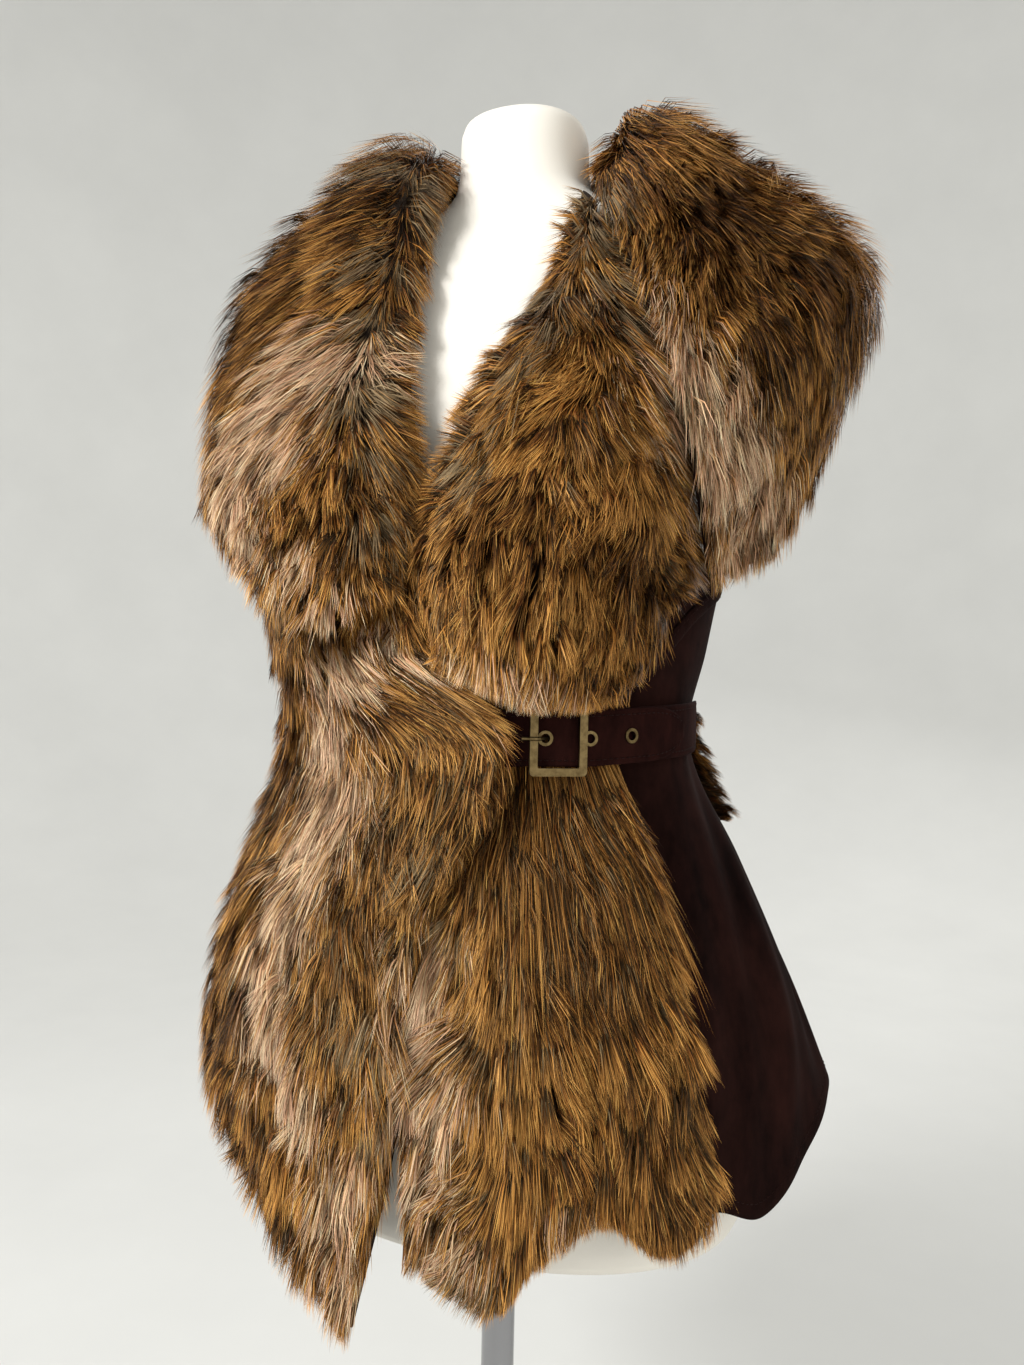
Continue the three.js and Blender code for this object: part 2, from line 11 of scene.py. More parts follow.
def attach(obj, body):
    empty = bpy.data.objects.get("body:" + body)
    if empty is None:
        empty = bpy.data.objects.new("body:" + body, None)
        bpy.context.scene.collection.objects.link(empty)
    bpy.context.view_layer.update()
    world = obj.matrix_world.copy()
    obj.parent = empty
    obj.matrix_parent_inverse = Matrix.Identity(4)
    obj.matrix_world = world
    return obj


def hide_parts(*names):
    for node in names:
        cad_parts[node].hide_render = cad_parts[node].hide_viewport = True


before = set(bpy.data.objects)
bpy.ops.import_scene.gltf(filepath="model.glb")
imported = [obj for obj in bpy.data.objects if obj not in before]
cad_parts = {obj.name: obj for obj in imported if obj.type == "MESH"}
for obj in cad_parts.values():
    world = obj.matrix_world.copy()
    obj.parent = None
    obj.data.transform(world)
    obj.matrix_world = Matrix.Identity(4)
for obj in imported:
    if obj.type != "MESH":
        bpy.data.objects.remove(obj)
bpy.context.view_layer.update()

MM = 0.001
studio = bpy.context.scene

# Camera and picture
PICTURE_HEIGHT = 1365
FOCAL_PIXELS = 1000
SENSOR = 36
CAMERA_DISTANCE = 0.765
CAMERA_HEIGHT = 0.687
CAMERA_AZIMUTH = 20
CAMERA_ROLL = 1.24
COVE_START = 1.8
COVE_RADIUS = 1.6
WALL_TOP = 5.0

# Lights: name, place, what it faces, size and power
LIGHTS = [
    ["key", (-1.3, -2.0, 2.0), (0, 0, 0.75), 0.9, 78],
    ["fill", (2.0, -1.6, 1.2), (0, 0, 0.7), 1.6, 14],
    ["rim", (0.6, 2.2, 2.0), (0, 0, 0.8), 1.4, 26],
]
WORLD_COLOUR = (0.84, 0.835, 0.82)
WORLD_STRENGTH = 0.6
FLOOR_GLOW = 0.3

# Dress form: half width, half depth and the centre's shift to the back, by height
FORM_SQUARENESS = 2.2
FORM_SECTIONS = np.array([
    [300, 168, 118, 20], [303, 174, 124, 20], [309, 177, 127, 20],
    [365, 178, 128, 20], [430, 176, 126, 18], [500, 160, 116, 14],
    [580, 130, 98, 8], [652, 112, 86, 4], [720, 120, 94, 2],
    [800, 137, 106, 0], [850, 145, 112, -2], [900, 150, 106, 2],
    [950, 152, 94, 6], [985, 145, 82, 9], [1010, 126, 71, 11],
    [1030, 96, 60, 11], [1044, 68, 52, 9], [1058, 53, 48, 6],
    [1075, 49, 47, 5], [1100, 48, 46, 4], [1106, 46, 44, 4],
    [1108, 41, 39, 4],
], float)
FORM_SIDES = 88
# Sections further apart than this get finer steps between them
FINE_ENOUGH = 8
FINER_STEPS = 6
# The search for the form's surface starts this far out and halves its range
FORM_REACH = 400.0
HALVINGS = 30

# Cloth
FUR = 14
COLLAR_FUR = 16
COLLAR_EDGE = 0.35
COLLAR_TURN = 0.35
SUEDE = 2.4
# The side seam's gap as a share of the width, and how much of it the side covers
SEAM_GAP = 0.0011
SEAM_CLOSED = 0.95
COLLAR_SEAM_GAP = 0.003
WAIST_Z = 645
CHEST_SHARE = 0.55
BACKING = 2.0
TUFT = 6
BIG_TUFT = 22
MOST_HAIRS = 90000
OVER_PLACES = (0, 0.6, 1)
EVEN_OVER = (5,) * 4
FRONT_LENGTH = (28, 41)
COLLAR_LENGTH = (22, 35)
HAIR_WIDTH = 0.62

# Smooth noise
WAVES = 6
WAVE_HEIGHT = 2.6

# Fur: how far, in degrees, broad and small waves, tufts, large tufts and hairs turn
WAVE_TURN = 13
RIPPLE_TURN = 9
TUFT_TURN = 40
BIG_TURN = 34
HAIR_TURN = 4
# How much tips lean to the middles of their tuft and large tuft, across and along
TUFT_PULL = (0.6, 0.45)
BIG_PULL = (0.22, 0.15)
# Lift of a tip: the least, then the hair's, its tuft's and its large tuft's part
LIFT_SHARES = (0.46, 0.26, 0.42, 0.3)
# Tufts above this number stand up by this much more
STANDING_TUFTS = 0.82
STANDING_LIFT = 0.75
TUFT_CROWN = 0.22
# Where along a hair it is widest, how much it leans in there and how little it rises
BEND_PLACE = 0.46
BEND_PULL = 0.4
BEND_LIFT = 0.72

# Hanging lines of the body panels. A row has its top and hem heights, the angle round the body
# and the ease from the form, at the top, chest, waist, hip, skirt and hem.
RIGHT_FRONT_LINES = [
    [850, 452, -112, -112, -112, -112, -112, -112, 28, 38, 40, 50, 60, 60],
    [850, 425, -92, -91, -91, -91, -91, -92, 34, 54, 52, 60, 66, 62],
    [850, 384, -70, -69, -68, -66, -66, -69, 42, 64, 62, 68, 70, 62],
    [840, 345, -48, -46, -42, -44, -46, -50, 42, 60, 64, 66, 66, 58],
    [812, 300, -30, -26, -14, -24, -28, -33, 26, 50, 66, 62, 58, 54],
    [800, 268, -13, -5, 17, -4, -7, -18, 18, 52, 69, 56, 52, 52],
]
LEFT_FRONT_LINES = [
    [690, 318, 4, 3, 2, -1, -6, -2, 32, 35, 36, 40, 42, 42],
    [690, 296, 14, 14, 14, 14, 16, 18, 34, 36, 37, 42, 44, 42],
    [690, 334, 24, 24, 24, 25, 27, 29, 34, 36, 37, 43, 46, 44],
    [690, 356, 34, 34, 34, 37, 40, 41, 34, 36, 36, 42, 44, 42],
    [690, 335, 42, 42, 43, 49, 51, 54, 32, 34, 34, 43, 46, 44],
    [690, 352, 48, 48, 49, 57, 60, 64, 30, 32, 33, 42, 44, 44],
]
SIDE_ROWS = 6
SHELL_LINES = [
    [800, 352, 44, 46, 48, 52, 54, 56, 15, 14, 15, 24, 26, 26],
    [790, 350, 60, 60, 60, 64, 66, 68, 15, 21, 26, 26, 27, 27],
    [795, 337, 76, 76, 75, 77, 78, 79, 16, 22, 28, 30, 32, 33],
    [800, 362, 90, 89, 88, 89, 89, 90, 22, 24, 23, 34, 40, 44],
    [800, 390, 101, 101, 101, 101, 101, 101, 25, 26, 19, 33, 43, 60],
    [800, 404, 111, 111, 111, 111, 111, 111, 24, 24, 18, 31, 42, 62],
    [900, 410, 128, 129, 130, 131, 132, 132, 16, 20, 22, 36, 50, 56],
    [985, 416, 150, 151, 152, 153, 154, 154, 12, 20, 26, 42, 50, 64],
    [1000, 422, 180, 180, 180, 180, 180, 180, 12, 18, 24, 36, 50, 54],
    [985, 430, 210, 209, 208, 207, 206, 206, 12, 20, 26, 42, 50, 62],
    [900, 440, 232, 231, 230, 229, 228, 228, 14, 22, 28, 40, 54, 56],
    [850, 451, 247.4, 247.4, 247.4, 247.4, 247.4, 247.4, 24, 34, 36, 46, 56, 56],
]
# Bodice: top, middle and hem heights, then angles, then eases
BODICE_LINES = [
    [985, 845, 655, 38, 4, -12, 4.4, 21, 10],
    [985, 850, 655, 52, 28, 4, 4.3, 9, 10],
    [970, 830, 655, 66, 50, 18, 4.3, 10, 10.4],
    [930, 800, 655, 78, 68, 32, 4.4, 11.2, 10.6],
]

# Sections from the neck edge over the crest to the outer hem
COLLAR_RIGHT_ROWS = 8
COLLAR_BACK_ROWS = 4
COLLAR_SECTIONS = [
    [[-26, -141, 750], [-45, -160, 741], [-67, -166, 731], [-88, -164, 723], [-108, -154, 716]],
    [[-14, -134, 797], [-42, -160, 790], [-77, -168, 770], [-107, -163, 753], [-130, -150, 740]],
    [[-21, -131, 846], [-52, -156, 844], [-104, -160, 812], [-144, -150, 790], [-168, -124, 768]],
    [[-32, -120, 900], [-60, -144, 900], [-112, -148, 876], [-170, -136, 842], [-198, -106, 796]],
    [[-38, -92, 968], [-66, -112, 986], [-120, -114, 966], [-184, -110, 908], [-212, -96, 808]],
    [[-38, -60, 1036], [-70, -66, 1066], [-130, -68, 1038], [-192, -80, 966], [-214, -74, 824]],
    [[-58, -2, 1072], [-76, -6, 1100], [-122, 0, 1062], [-182, -6, 976], [-206, -8, 850]],
    [[-52, 33, 1072], [-64, 42, 1102], [-102, 62, 1062], [-154, 74, 986], [-178, 80, 880]],
    [[-36, 54, 1071], [-45, 68, 1104], [-74, 102, 1064], [-112, 130, 982], [-128, 140, 872]],
    [[0, 50, 1071], [0, 80, 1106], [0, 120, 1066], [0, 148, 976], [0, 158, 868]],
    [[40, 53, 1071], [50, 66, 1110], [86, 104, 1078], [134, 140, 990], [140, 148, 880]],
    [[56, 27, 1072], [72, 36, 1112], [146, 60, 1072], [226, 92, 998], [206, 99, 880]],
    [[64, -6, 1070], [86, 4, 1110], [158, 14, 1070], [252, 36, 984], [214, 38, 830]],
    [[68, -32, 1056], [92, -38, 1062], [146, -70, 996], [192, -62, 906], [192, -4, 778]],
    [[76, -62, 1018], [93, -85, 1001], [126, -113, 942], [155, -112, 862], [166, -60, 756]],
]
LAPEL_SECTIONS = [
    [[62, -54, 1032], [74, -68, 1020], [86, -77, 1003], [94, -77, 989], [100, -73, 977]],
    [[60, -81, 989], [79, -102, 972], [99, -106, 953], [114, -100, 936], [125, -85, 919]],
    [[50, -107, 939], [74, -131, 923], [105, -132, 900], [129, -112, 884], [140, -82, 868]],
    [[27, -127, 891], [55, -155, 876], [98, -158, 850], [132, -123, 829], [148, -68, 812]],
    [[7, -139, 841], [35, -164, 829], [86, -164, 806], [129, -124, 782], [150, -56, 761]],
    [[-12, -138, 797], [18, -166, 784], [67, -172, 764], [108, -144, 748], [140, -94, 738]],
    [[-15, -142, 752], [12, -170, 744], [56, -174, 724], [96, -150, 708], [124, -112, 698]],
    [[8, -150, 701], [26, -168, 690], [56, -170, 676], [84, -156, 671], [108, -130, 674]],
]
EDGE_LINE = [[0.72, 0.1], [0.42, 0.15], [0.26, 0.22], [0.15, 0.29]]
EDGE_SHARE = 0.025
EDGE_CLOTH = 2
BACKING_GRID = (37, 41)
GAP = 0.3
SEAM_FUR = 9
SEAM_FUR_ROWS = [5 / 16, 9 / 16]

# Belt: angle, radius and height of the outer face
BELT_WIDTH = 35.6
BELT_CLOTH = 2
BELT_TIP_LINE = [
    [5, 127.5, 650], [16, 133.6, 651], [25, 140.2, 652.5],
    [32, 141.5, 652.5], [39.3, 142.2, 652.5], [48, 145.2, 654],
    [60, 146.2, 655.5], [73, 146.9, 657],
]
BELT_END_LINE = [
    [35, 139.4, 652.5], [39.3, 139.7, 652.5], [43, 140.6, 653],
    [48, 142.4, 654], [60, 143.5, 655.5], [73, 144.5, 657],
    [90, 141.2, 659],
]
# The belt's pointed end
TIP_TAPER = 0.16
TIP_BLUNTNESS = 0.25
HOLE = 3.9

# Sewing: a stitch and the step to the next, and a stitch's rings (share of its length, height
# above the cloth and half thickness)
STITCH = 3.0
STITCH_STEP = 4.2
STITCH_SHAPE = ((0, -0.25, 0.18), (0.25, 0.12, 0.36), (0.75, 0.12, 0.36), (1, -0.25, 0.18))
# Rows of stitches: a name, and both ends as shares across and along the panel
HEM_ROW = ("hem", 0, 0.98, 1, 0.98)
TOP_ROW = ("top", 0, 0.02, 1, 0.02)
SEAM_ROW = ("seam", 0.012, 0.01, 0.012, 0.99)
EDGE_ROWS = (("first", 0.22, 0.01, 0.22, 0.99), ("second", 0.78, 0.01, 0.78, 0.99))
STRAP_ROWS = ((0.11, 0.01, 0.11, 0.985), (0.89, 0.01, 0.89, 0.985))

# Colours, as sRGB
FORM_WHITE = (0.93, 0.91, 0.87)
SUEDE_DARK = (0.06, 0.026, 0.022)
# The light suede tone is partly the nap's own colour, partly painted highlight for the soft sheen on its
# folds
SUEDE_LIGHT = (0.17, 0.09, 0.075)
BELT_DARK = (0.10, 0.04, 0.033)
BELT_LIGHT = (0.18, 0.085, 0.07)
THREAD = (0.12, 0.06, 0.05)
BRASS = (0.47, 0.40, 0.27)
BRASS_DARK = (0.33, 0.27, 0.17)
STEEL = (0.62, 0.62, 0.63)
FLOOR = (0.77, 0.77, 0.758)
UNDERFUR = (0.24, 0.2, 0.17)
UNDERFUR_DARK = (0.13, 0.1, 0.08)
HAIR_SHINE = (1.0, 0.86, 0.62)

HAIR_TONES = {
    "gold": (0.94, 0.70, 0.38),
    "ochre": (0.68, 0.45, 0.20),
    "brown": (0.37, 0.20, 0.08),
    "dark": (0.10, 0.055, 0.03),
    "cream": (0.96, 0.87, 0.73),
    "pink": (0.93, 0.77, 0.65),
    "tan": (0.80, 0.73, 0.66),
    "grey": (0.51, 0.43, 0.32),
    # The root tone is painted shade: the underfur's own grey-brown is coloured nearly black for the shade
    # deep in the fur
    "root": (0.075, 0.045, 0.03),
}

# The mood below which a hair's middle or tip has each tone, from the darkest
MIDDLE_STEPS = {"dark": 0.62, "brown": 0.85, "ochre": 9}
TIP_STEPS = {"dark": 0.3, "brown": 0.47, "ochre": 0.68, "gold": 9}

# Where the fur's colour changes: each spot's middle and radius (millimetres)
TONE_SPOTS = {
    "pale": [
        (-84, -144, 906, 30), (-52, -140, 906, 22), (-105, -146, 885, 30), (-131, -146, 862, 30),
        (-95, -157, 848, 20), (-150, -147, 822, 30), (-142, -151, 790, 24), (-96, -166, 768, 20),
        (-65, -163, 737, 16), (-48, -145, 722, 20), (-93, -130, 700, 24), (-97, -124, 662, 28),
        (-70, -141, 625, 28), (-88, -141, 585, 28), (-108, -140, 545, 28), (-118, -140, 505, 28),
        (-114, -146, 466, 26), (-88, -154, 426, 24), (-56, -157, 375, 22), (-52, -155, 320, 22),
        (-4, -136, 525, 24), (-2, -143, 480, 26), (2, -148, 437, 28), (12, -150, 390, 27),
        (26, -147, 340, 22), (90, -139, 372, 14), (117, -99, 930, 24), (145, -111, 898, 32),
        (159, -103, 869, 38), (175, -79, 845, 40), (195, -30, 826, 34), (180, -40, 786, 30),
        (44, -170, 694, 20), (78, -160, 683, 18), (20, -160, 720, 14),
    ],
    "grey": [
        (-58, -68, 1055, 20), (-43, -76, 1010, 18), (-52, -110, 970, 14), (-55, -129, 935, 14),
        (-54, -147, 880, 14), (-44, -152, 840, 14), (-36, -152, 800, 14), (-28, -147, 770, 14),
        (70, -64, 1020, 22), (86, -80, 990, 20), (98, -103, 958, 18), (106, -112, 930, 16),
        (66, -115, 945, 12), (72, -132, 915, 12), (66, -146, 885, 12), (52, -158, 855, 12),
        (34, -162, 828, 12), (3, -150, 582, 12), (2, -131, 546, 14), (-48, -156, 477, 18),
        (-30, -156, 420, 14), (45, -145, 318, 16), (151, -109, 880, 14),
    ],
    "dark": [
        (-75, -88, 1034, 40), (-143, -84, 1009, 40), (-168, -95, 960, 34), (-51, -163, 790, 20),
        (-110, -153, 725, 24), (-130, -102, 628, 24), (-19, -150, 611, 22), (-150, -128, 463, 28),
        (-44, -153, 546, 22), (60, -120, 615, 60), (120, -98, 590, 55), (90, -125, 540, 46),
        (75, -130, 580, 46), (97, -79, 1006, 34), (150, -61, 1007, 50), (188, -51, 960, 50),
        (221, -15, 960, 44), (188, -68, 905, 26), (74, -131, 924, 30), (110, -149, 784, 24),
        (60, -172, 782, 34), (130, -115, 764, 34),
    ],
}

# Flow rows: share across, share along, angle in degrees and lift
RIGHT_FRONT_FLOW = [
    [0.1, 0.05, 12, 1], [0.5, 0.05, 16, 1], [0.9, 0.05, 18, 1],
    [0.1, 0.35, 6, 1], [0.5, 0.33, 26, 1], [0.92, 0.33, 34, 0.9],
    [0.1, 0.6, -8, 1], [0.5, 0.58, -2, 1], [0.92, 0.56, 16, 1],
    [0.1, 0.9, -6, 1], [0.5, 0.85, 2, 1], [0.92, 0.85, 8, 1],
]
LEFT_FRONT_FLOW = [
    [0.05, 0.2, -10, 1], [0.5, 0.2, 0, 1], [0.95, 0.2, 8, 1],
    [0.05, 0.9, -14, 1], [0.5, 0.9, 2, 1], [0.95, 0.9, 12, 1],
]
COLLAR_RIGHT_FLOW = [
    [0.05, 0.1, -130, 1], [0.4, 0.08, -145, 1.1], [0.7, 0.08, -150, 1.5], [0.95, 0.08, -170, 1.5],
    [0.6, 0.24, -40, 1.5], [0.85, 0.24, -10, 1.8],
    [0.05, 0.5, -80, 1], [0.4, 0.45, -50, 1.1], [0.7, 0.45, -15, 1.2], [0.95, 0.45, 0, 1.2],
    [0.05, 0.9, -70, 1], [0.4, 0.9, -40, 1], [0.7, 0.9, -14, 1], [0.95, 0.9, 0, 1],
]
COLLAR_BACK_FLOW = [
    [0.1, 0.06, 180, 1.3], [0.5, 0.06, 180, 1.3], [0.9, 0.06, 180, 1.3], [0.1, 0.4, 0, 1], [0.5, 0.4, 0, 1],
    [0.9, 0.4, 0, 1], [0.1, 0.9, -8, 1], [0.5, 0.9, 0, 1], [0.9, 0.9, 8, 1],
]
COLLAR_LEFT_FLOW = [
    [0.1, 0.06, 180, 1.3], [0.5, 0.06, 150, 1.3], [0.97, 0.03, 115, 1], [0.9, 0.2, 60, 1],
    [0.1, 0.24, 0, 1.5], [0.5, 0.24, 14, 1.4],
    [0.1, 0.5, 4, 1.2], [0.5, 0.5, 20, 1.2], [0.95, 0.45, 48, 1],
    [0.1, 0.95, 4, 1], [0.5, 0.95, 16, 1], [0.95, 0.95, 26, 1],
]
LAPEL_FLOW = [
    [0.03, 0.5, -10, 1.2], [0.1, 0.06, 150, 1.2], [0.5, 0.05, 160, 1.2], [0.9, 0.08, 120, 1],
    [0.15, 0.3, 70, 0.9], [0.5, 0.3, 100, 0.9], [0.9, 0.3, 92, 1],
    [0.15, 0.6, 40, 1], [0.5, 0.6, 76, 1], [0.9, 0.6, 84, 1],
    [0.1, 0.95, 14, 1.1], [0.5, 0.95, 34, 1], [0.9, 0.95, 72, 1],
]

SEAM_FLOW = [[0.1, 0.1, 20, 1.5], [0.5, 0.5, 0, 1.7], [0.9, 0.9, -10, 1.4]]


# Curves and sheets

def unit(vectors):
    return vectors / np.linalg.norm(vectors, axis=1, keepdims=True)


def catmull(points, t):
    """Centripetal curve through points (rows, count, 3) at t, one value for each of count"""
    rows = len(points)
    t = np.clip(np.asarray(t, float), 0, 1)
    points = np.broadcast_to(points, (rows, len(t), points.shape[-1]))
    place = t * (rows - 1)
    index = np.minimum(place.astype(int), rows - 2)
    w = (place - index)[:, None]
    each = np.arange(len(t))
    ends = 2 * points[:1] - points[1:2], 2 * points[-1:] - points[-2:-1]
    longer = np.concatenate([ends[0], points, ends[1]])
    p0, p1, p2, p3 = (longer[index + j, each] for j in range(4))

    def step(a, b):
        return ((a - b) ** 2).sum(1, keepdims=True) ** 0.25

    d1 = step(p1, p2)
    d1 = np.where(d1 < 1e-4, 1, d1)
    d0, d2 = step(p0, p1), step(p2, p3)
    d0, d2 = np.where(d0 < 1e-4, d1, d0), np.where(d2 < 1e-4, d1, d2)
    t1 = ((p1 - p0) / d0 - (p2 - p0) / (d0 + d1) + (p2 - p1) / d1) * d1
    t2 = ((p2 - p1) / d1 - (p3 - p1) / (d1 + d2) + (p3 - p2) / d2) * d1
    return p1 + w * (t1 + w * (3 * (p2 - p1) - 2 * t1 - t2 + w * (2 * (p1 - p2) + t1 + t2)))


def form_section(z):
    rows = FORM_SECTIONS[3:]
    return [np.interp(z, rows[:, 0], rows[:, k]) for k in (1, 2, 3)]


def form_radius(angle, z):
    wide, deep, shift = form_section(z)
    x, y = np.sin(np.radians(angle)), -np.cos(np.radians(angle))
    low, high = np.zeros_like(x + z), np.full_like(x + z, FORM_REACH)
    for _ in range(HALVINGS):
        middle = (low + high) / 2
        across, along = np.abs(x * middle) / wide, np.abs(y * middle - shift) / deep
        inside = across ** FORM_SQUARENESS + along ** FORM_SQUARENESS < 1
        low, high = np.where(inside, middle, low), np.where(inside, high, middle)
    return low


def body_point(angle, z, ease):
    angle, z, ease = (np.asarray(v, float) for v in (angle, z, ease))
    turn = np.radians(angle)
    reach = form_radius(angle, z) + ease
    return np.stack([np.sin(turn) * reach, -np.cos(turn) * reach, z + 0 * reach], -1)


def hanging_line(row):
    top, hem = row[0], row[1]
    chest = top + (WAIST_Z - top) * CHEST_SHARE
    heights = [top, chest, WAIST_Z] + [WAIST_Z + (hem - WAIST_Z) * k / 3 for k in (1, 2, 3)]
    return body_point(row[2:8], heights, row[8:14])


def sheet_through(lines):
    """point(s, t) in millimetres, for flat arrays s across the lines and t along them"""
    lines = [np.asarray(line, float) for line in lines]

    def sheet(s, t):
        s, t = np.broadcast_arrays(np.asarray(s, float), np.asarray(t, float))
        points = np.stack([catmull(line[:, None, :], t) for line in lines])
        return catmull(points, s)

    return sheet


def hanging_sheet(rows):
    return sheet_through([hanging_line(row) for row in rows])


def bodice_sheet():
    course = sheet_through([[[row[3 + k], row[k], row[6 + k]] for k in range(3)] for row in BODICE_LINES])

    def sheet(s, t):
        at = course(s, t)
        return body_point(at[:, 0], at[:, 1], at[:, 2])

    return sheet


def edge_sheet(shell):
    line = np.array([[a, b, 0] for a, b in EDGE_LINE], float)[:, None, :]
    side = (SIDE_ROWS - 1) / (len(SHELL_LINES) - 1)

    def sheet(s, t):
        at = catmull(line, t)
        aside = (s - 0.5) * EDGE_SHARE
        return shell((at[:, 0] + aside) * side, at[:, 1] + aside)

    return sheet


def strap_sheet(rows, taper):
    line = np.array(rows, float)[:, None, :]

    def sheet(s, t):
        at = catmull(line, t)
        x, y = np.sin(np.radians(at[:, 0])) * at[:, 1], -np.cos(np.radians(at[:, 0])) * at[:, 1]
        return np.stack([x, y, at[:, 2] + (s - 0.5) * BELT_WIDTH * taper(t)], -1)

    return sheet


def tip_taper(t):
    share = np.clip((t - 1 + TIP_TAPER) / TIP_TAPER, 0, 1)
    return np.maximum(TIP_BLUNTNESS, np.sqrt(1 - share * share))


def collar_thinning(t):
    def smooth(x, low, high):
        k = np.clip((x - low) / (high - low), 0, 1)
        return k * k * (3 - 2 * k)

    rise = smooth(t, 0, COLLAR_TURN)
    fall = smooth(t, 1 - COLLAR_TURN, 1)
    return COLLAR_EDGE + (1 - COLLAR_EDGE) * rise * (1 - fall / 2)


class Panel:
    """Cloth as a grid of points (metres) on the solid's outer face, with normals.
    a runs across and b along, both 0 to 1. wall is the solid's thickness, one number or by b."""

    def __init__(self, sheet, facing, start=(0, 0), end=(1, 1), across=161, along=161,
                 wall=FUR, lift=0):
        s = np.linspace(start[0], end[0], across)
        t = np.linspace(start[1], end[1], along)
        grid_s, grid_t = np.meshgrid(s, t)
        self.points = sheet(grid_s.ravel(), grid_t.ravel()).reshape(along, across, 3) * MM
        self.across_step = np.gradient(self.points, axis=1) * (across - 1)
        self.along_step = np.gradient(self.points, axis=0) * (along - 1)
        normal = np.cross(self.across_step, self.along_step)
        self.area = np.linalg.norm(normal, axis=2)
        self.normals = facing * normal / np.maximum(self.area, 1e-12)[..., None]
        self.points += self.normals * lift * MM
        depth = wall(t) if callable(wall) else wall + 0 * t
        self.wall = np.repeat(depth[:, None], across, 1)[..., None] * MM

    def at(self, field, a, b):
        rows, cols = field.shape[:2]
        x = np.clip(a, 0, 1) * (cols - 1)
        y = np.clip(b, 0, 1) * (rows - 1)
        i = np.minimum(x.astype(int), cols - 2)
        j = np.minimum(y.astype(int), rows - 2)
        u, v = (x - i)[:, None], (y - j)[:, None]
        low = field[j, i] * (1 - u) + field[j, i + 1] * u
        high = field[j + 1, i] * (1 - u) + field[j + 1, i + 1] * u
        return low * (1 - v) + high * v

    def normal_at(self, a, b):
        return unit(self.at(self.normals, a, b))

    def size(self):
        wide = np.linalg.norm(np.diff(self.points, axis=1), axis=2).sum(1)
        long = np.linalg.norm(np.diff(self.points, axis=0), axis=2).sum(0)
        return float(wide.max()), float(long.max())

    def square_metres(self):
        rows, cols = self.area.shape
        return float(self.area.sum() / ((rows - 1) * (cols - 1)))


# Materials

# Short names of the shader's sockets
SOCKETS = {
    "roughness": "Roughness",
    "metallic": "Metallic",
    "specular": "Specular IOR Level",
    "sheen": "Sheen Weight",
    "sheen_rough": "Sheen Roughness",
    "sheen_tint": "Sheen Tint",
    "tint": "Specular Tint",
    "glow": "Emission Strength",
    "glow_colour": "Emission Color",
}


def shaded(colour, share):
    return tuple(c * share for c in colour)


def rgba(colour):
    return (*linear(colour), 1)


def linear(colour):
    return tuple(c / 12.92 if c <= 0.04045 else ((c + 0.055) / 1.055) ** 2.4 for c in colour)


class Paint:
    """A node material: small helpers round its tree"""

    def __init__(self, name, **settings):
        self.material = bpy.data.materials.new(name)
        self.material.use_nodes = True
        self.tree = self.material.node_tree
        self.shader = self.tree.nodes["Principled BSDF"]
        for key, value in settings.items():
            self.shader.inputs[SOCKETS[key]].default_value = value

    def node(self, kind, **values):
        made = self.tree.nodes.new(kind)
        for key, value in values.items():
            if key in made.inputs:
                made.inputs[key].default_value = value
            else:
                setattr(made, key, value)
        return made

    def link(self, a, b):
        self.tree.links.new(a, b)

    def noise(self, scale, detail=4.0, rough=0.6, stretch=None):
        made = self.node("ShaderNodeTexNoise", Scale=scale, Detail=detail, Roughness=rough)
        source = self.node("ShaderNodeTexCoord").outputs["Object"]
        if stretch:
            mapping = self.node("ShaderNodeMapping", Scale=stretch)
            self.link(source, mapping.inputs["Vector"])
            source = mapping.outputs["Vector"]
        self.link(source, made.inputs["Vector"])
        return made.outputs["Fac"]

    def ramp(self, fac, stops):
        made = self.node("ShaderNodeValToRGB")
        elements = made.color_ramp.elements
        while len(elements) < len(stops):
            elements.new(0.5)
        for element, (place, colour) in zip(elements, stops):
            element.position = place
            element.color = rgba(colour)
        self.link(fac, made.inputs["Fac"])
        return made.outputs["Color"]

    def colour(self, output):
        self.link(output, self.shader.inputs["Base Color"])

    def rough_between(self, fac, low, high):
        made = self.node("ShaderNodeMapRange", **{"To Min": low, "To Max": high})
        self.link(fac, made.inputs["Value"])
        self.link(made.outputs["Result"], self.shader.inputs["Roughness"])

    def bump(self, height, strength, distance):
        made = self.node("ShaderNodeBump", Strength=strength, Distance=distance)
        self.link(height, made.inputs["Height"])
        self.link(made.outputs["Normal"], self.shader.inputs["Normal"])


def fur_paint():
    paint = Paint("fur", roughness=0.4, specular=0.36, tint=rgba(HAIR_SHINE))
    colour = paint.node("ShaderNodeAttribute", attribute_name="hair_colour")
    paint.colour(colour.outputs["Color"])
    return paint.material


def underfur_paint():
    paint = Paint("underfur", roughness=0.95, specular=0.1)
    paint.colour(paint.ramp(paint.noise(170), [(0.3, UNDERFUR_DARK), (0.7, UNDERFUR)]))
    paint.bump(paint.noise(900), 0.8, 0.001)
    return paint.material


def suede_paint(name, dark, light, patch=26.0):
    paint = Paint(name, roughness=0.95, specular=0.04, sheen=0.12, sheen_rough=0.45,
                  sheen_tint=rgba(light))
    # Lighter patches stretched up and down: partly the nap's own tone, partly painted highlight of soft
    # sheen
    nap_and_sheen = paint.noise(patch, 6.0, 0.68, (1.0, 1.0, 0.45))
    paint.colour(paint.ramp(nap_and_sheen, [(0.36, dark), (0.72, light)]))
    paint.bump(paint.noise(2600, 2.0), 0.35, 0.0004)
    return paint.material


def thread_paint():
    paint = Paint("thread", roughness=0.8, specular=0.1)
    paint.colour(paint.ramp(paint.noise(900), [(0.35, THREAD), (0.65, shaded(THREAD, 1.3))]))
    paint.bump(paint.noise(3000), 0.4, 0.0002)
    return paint.material


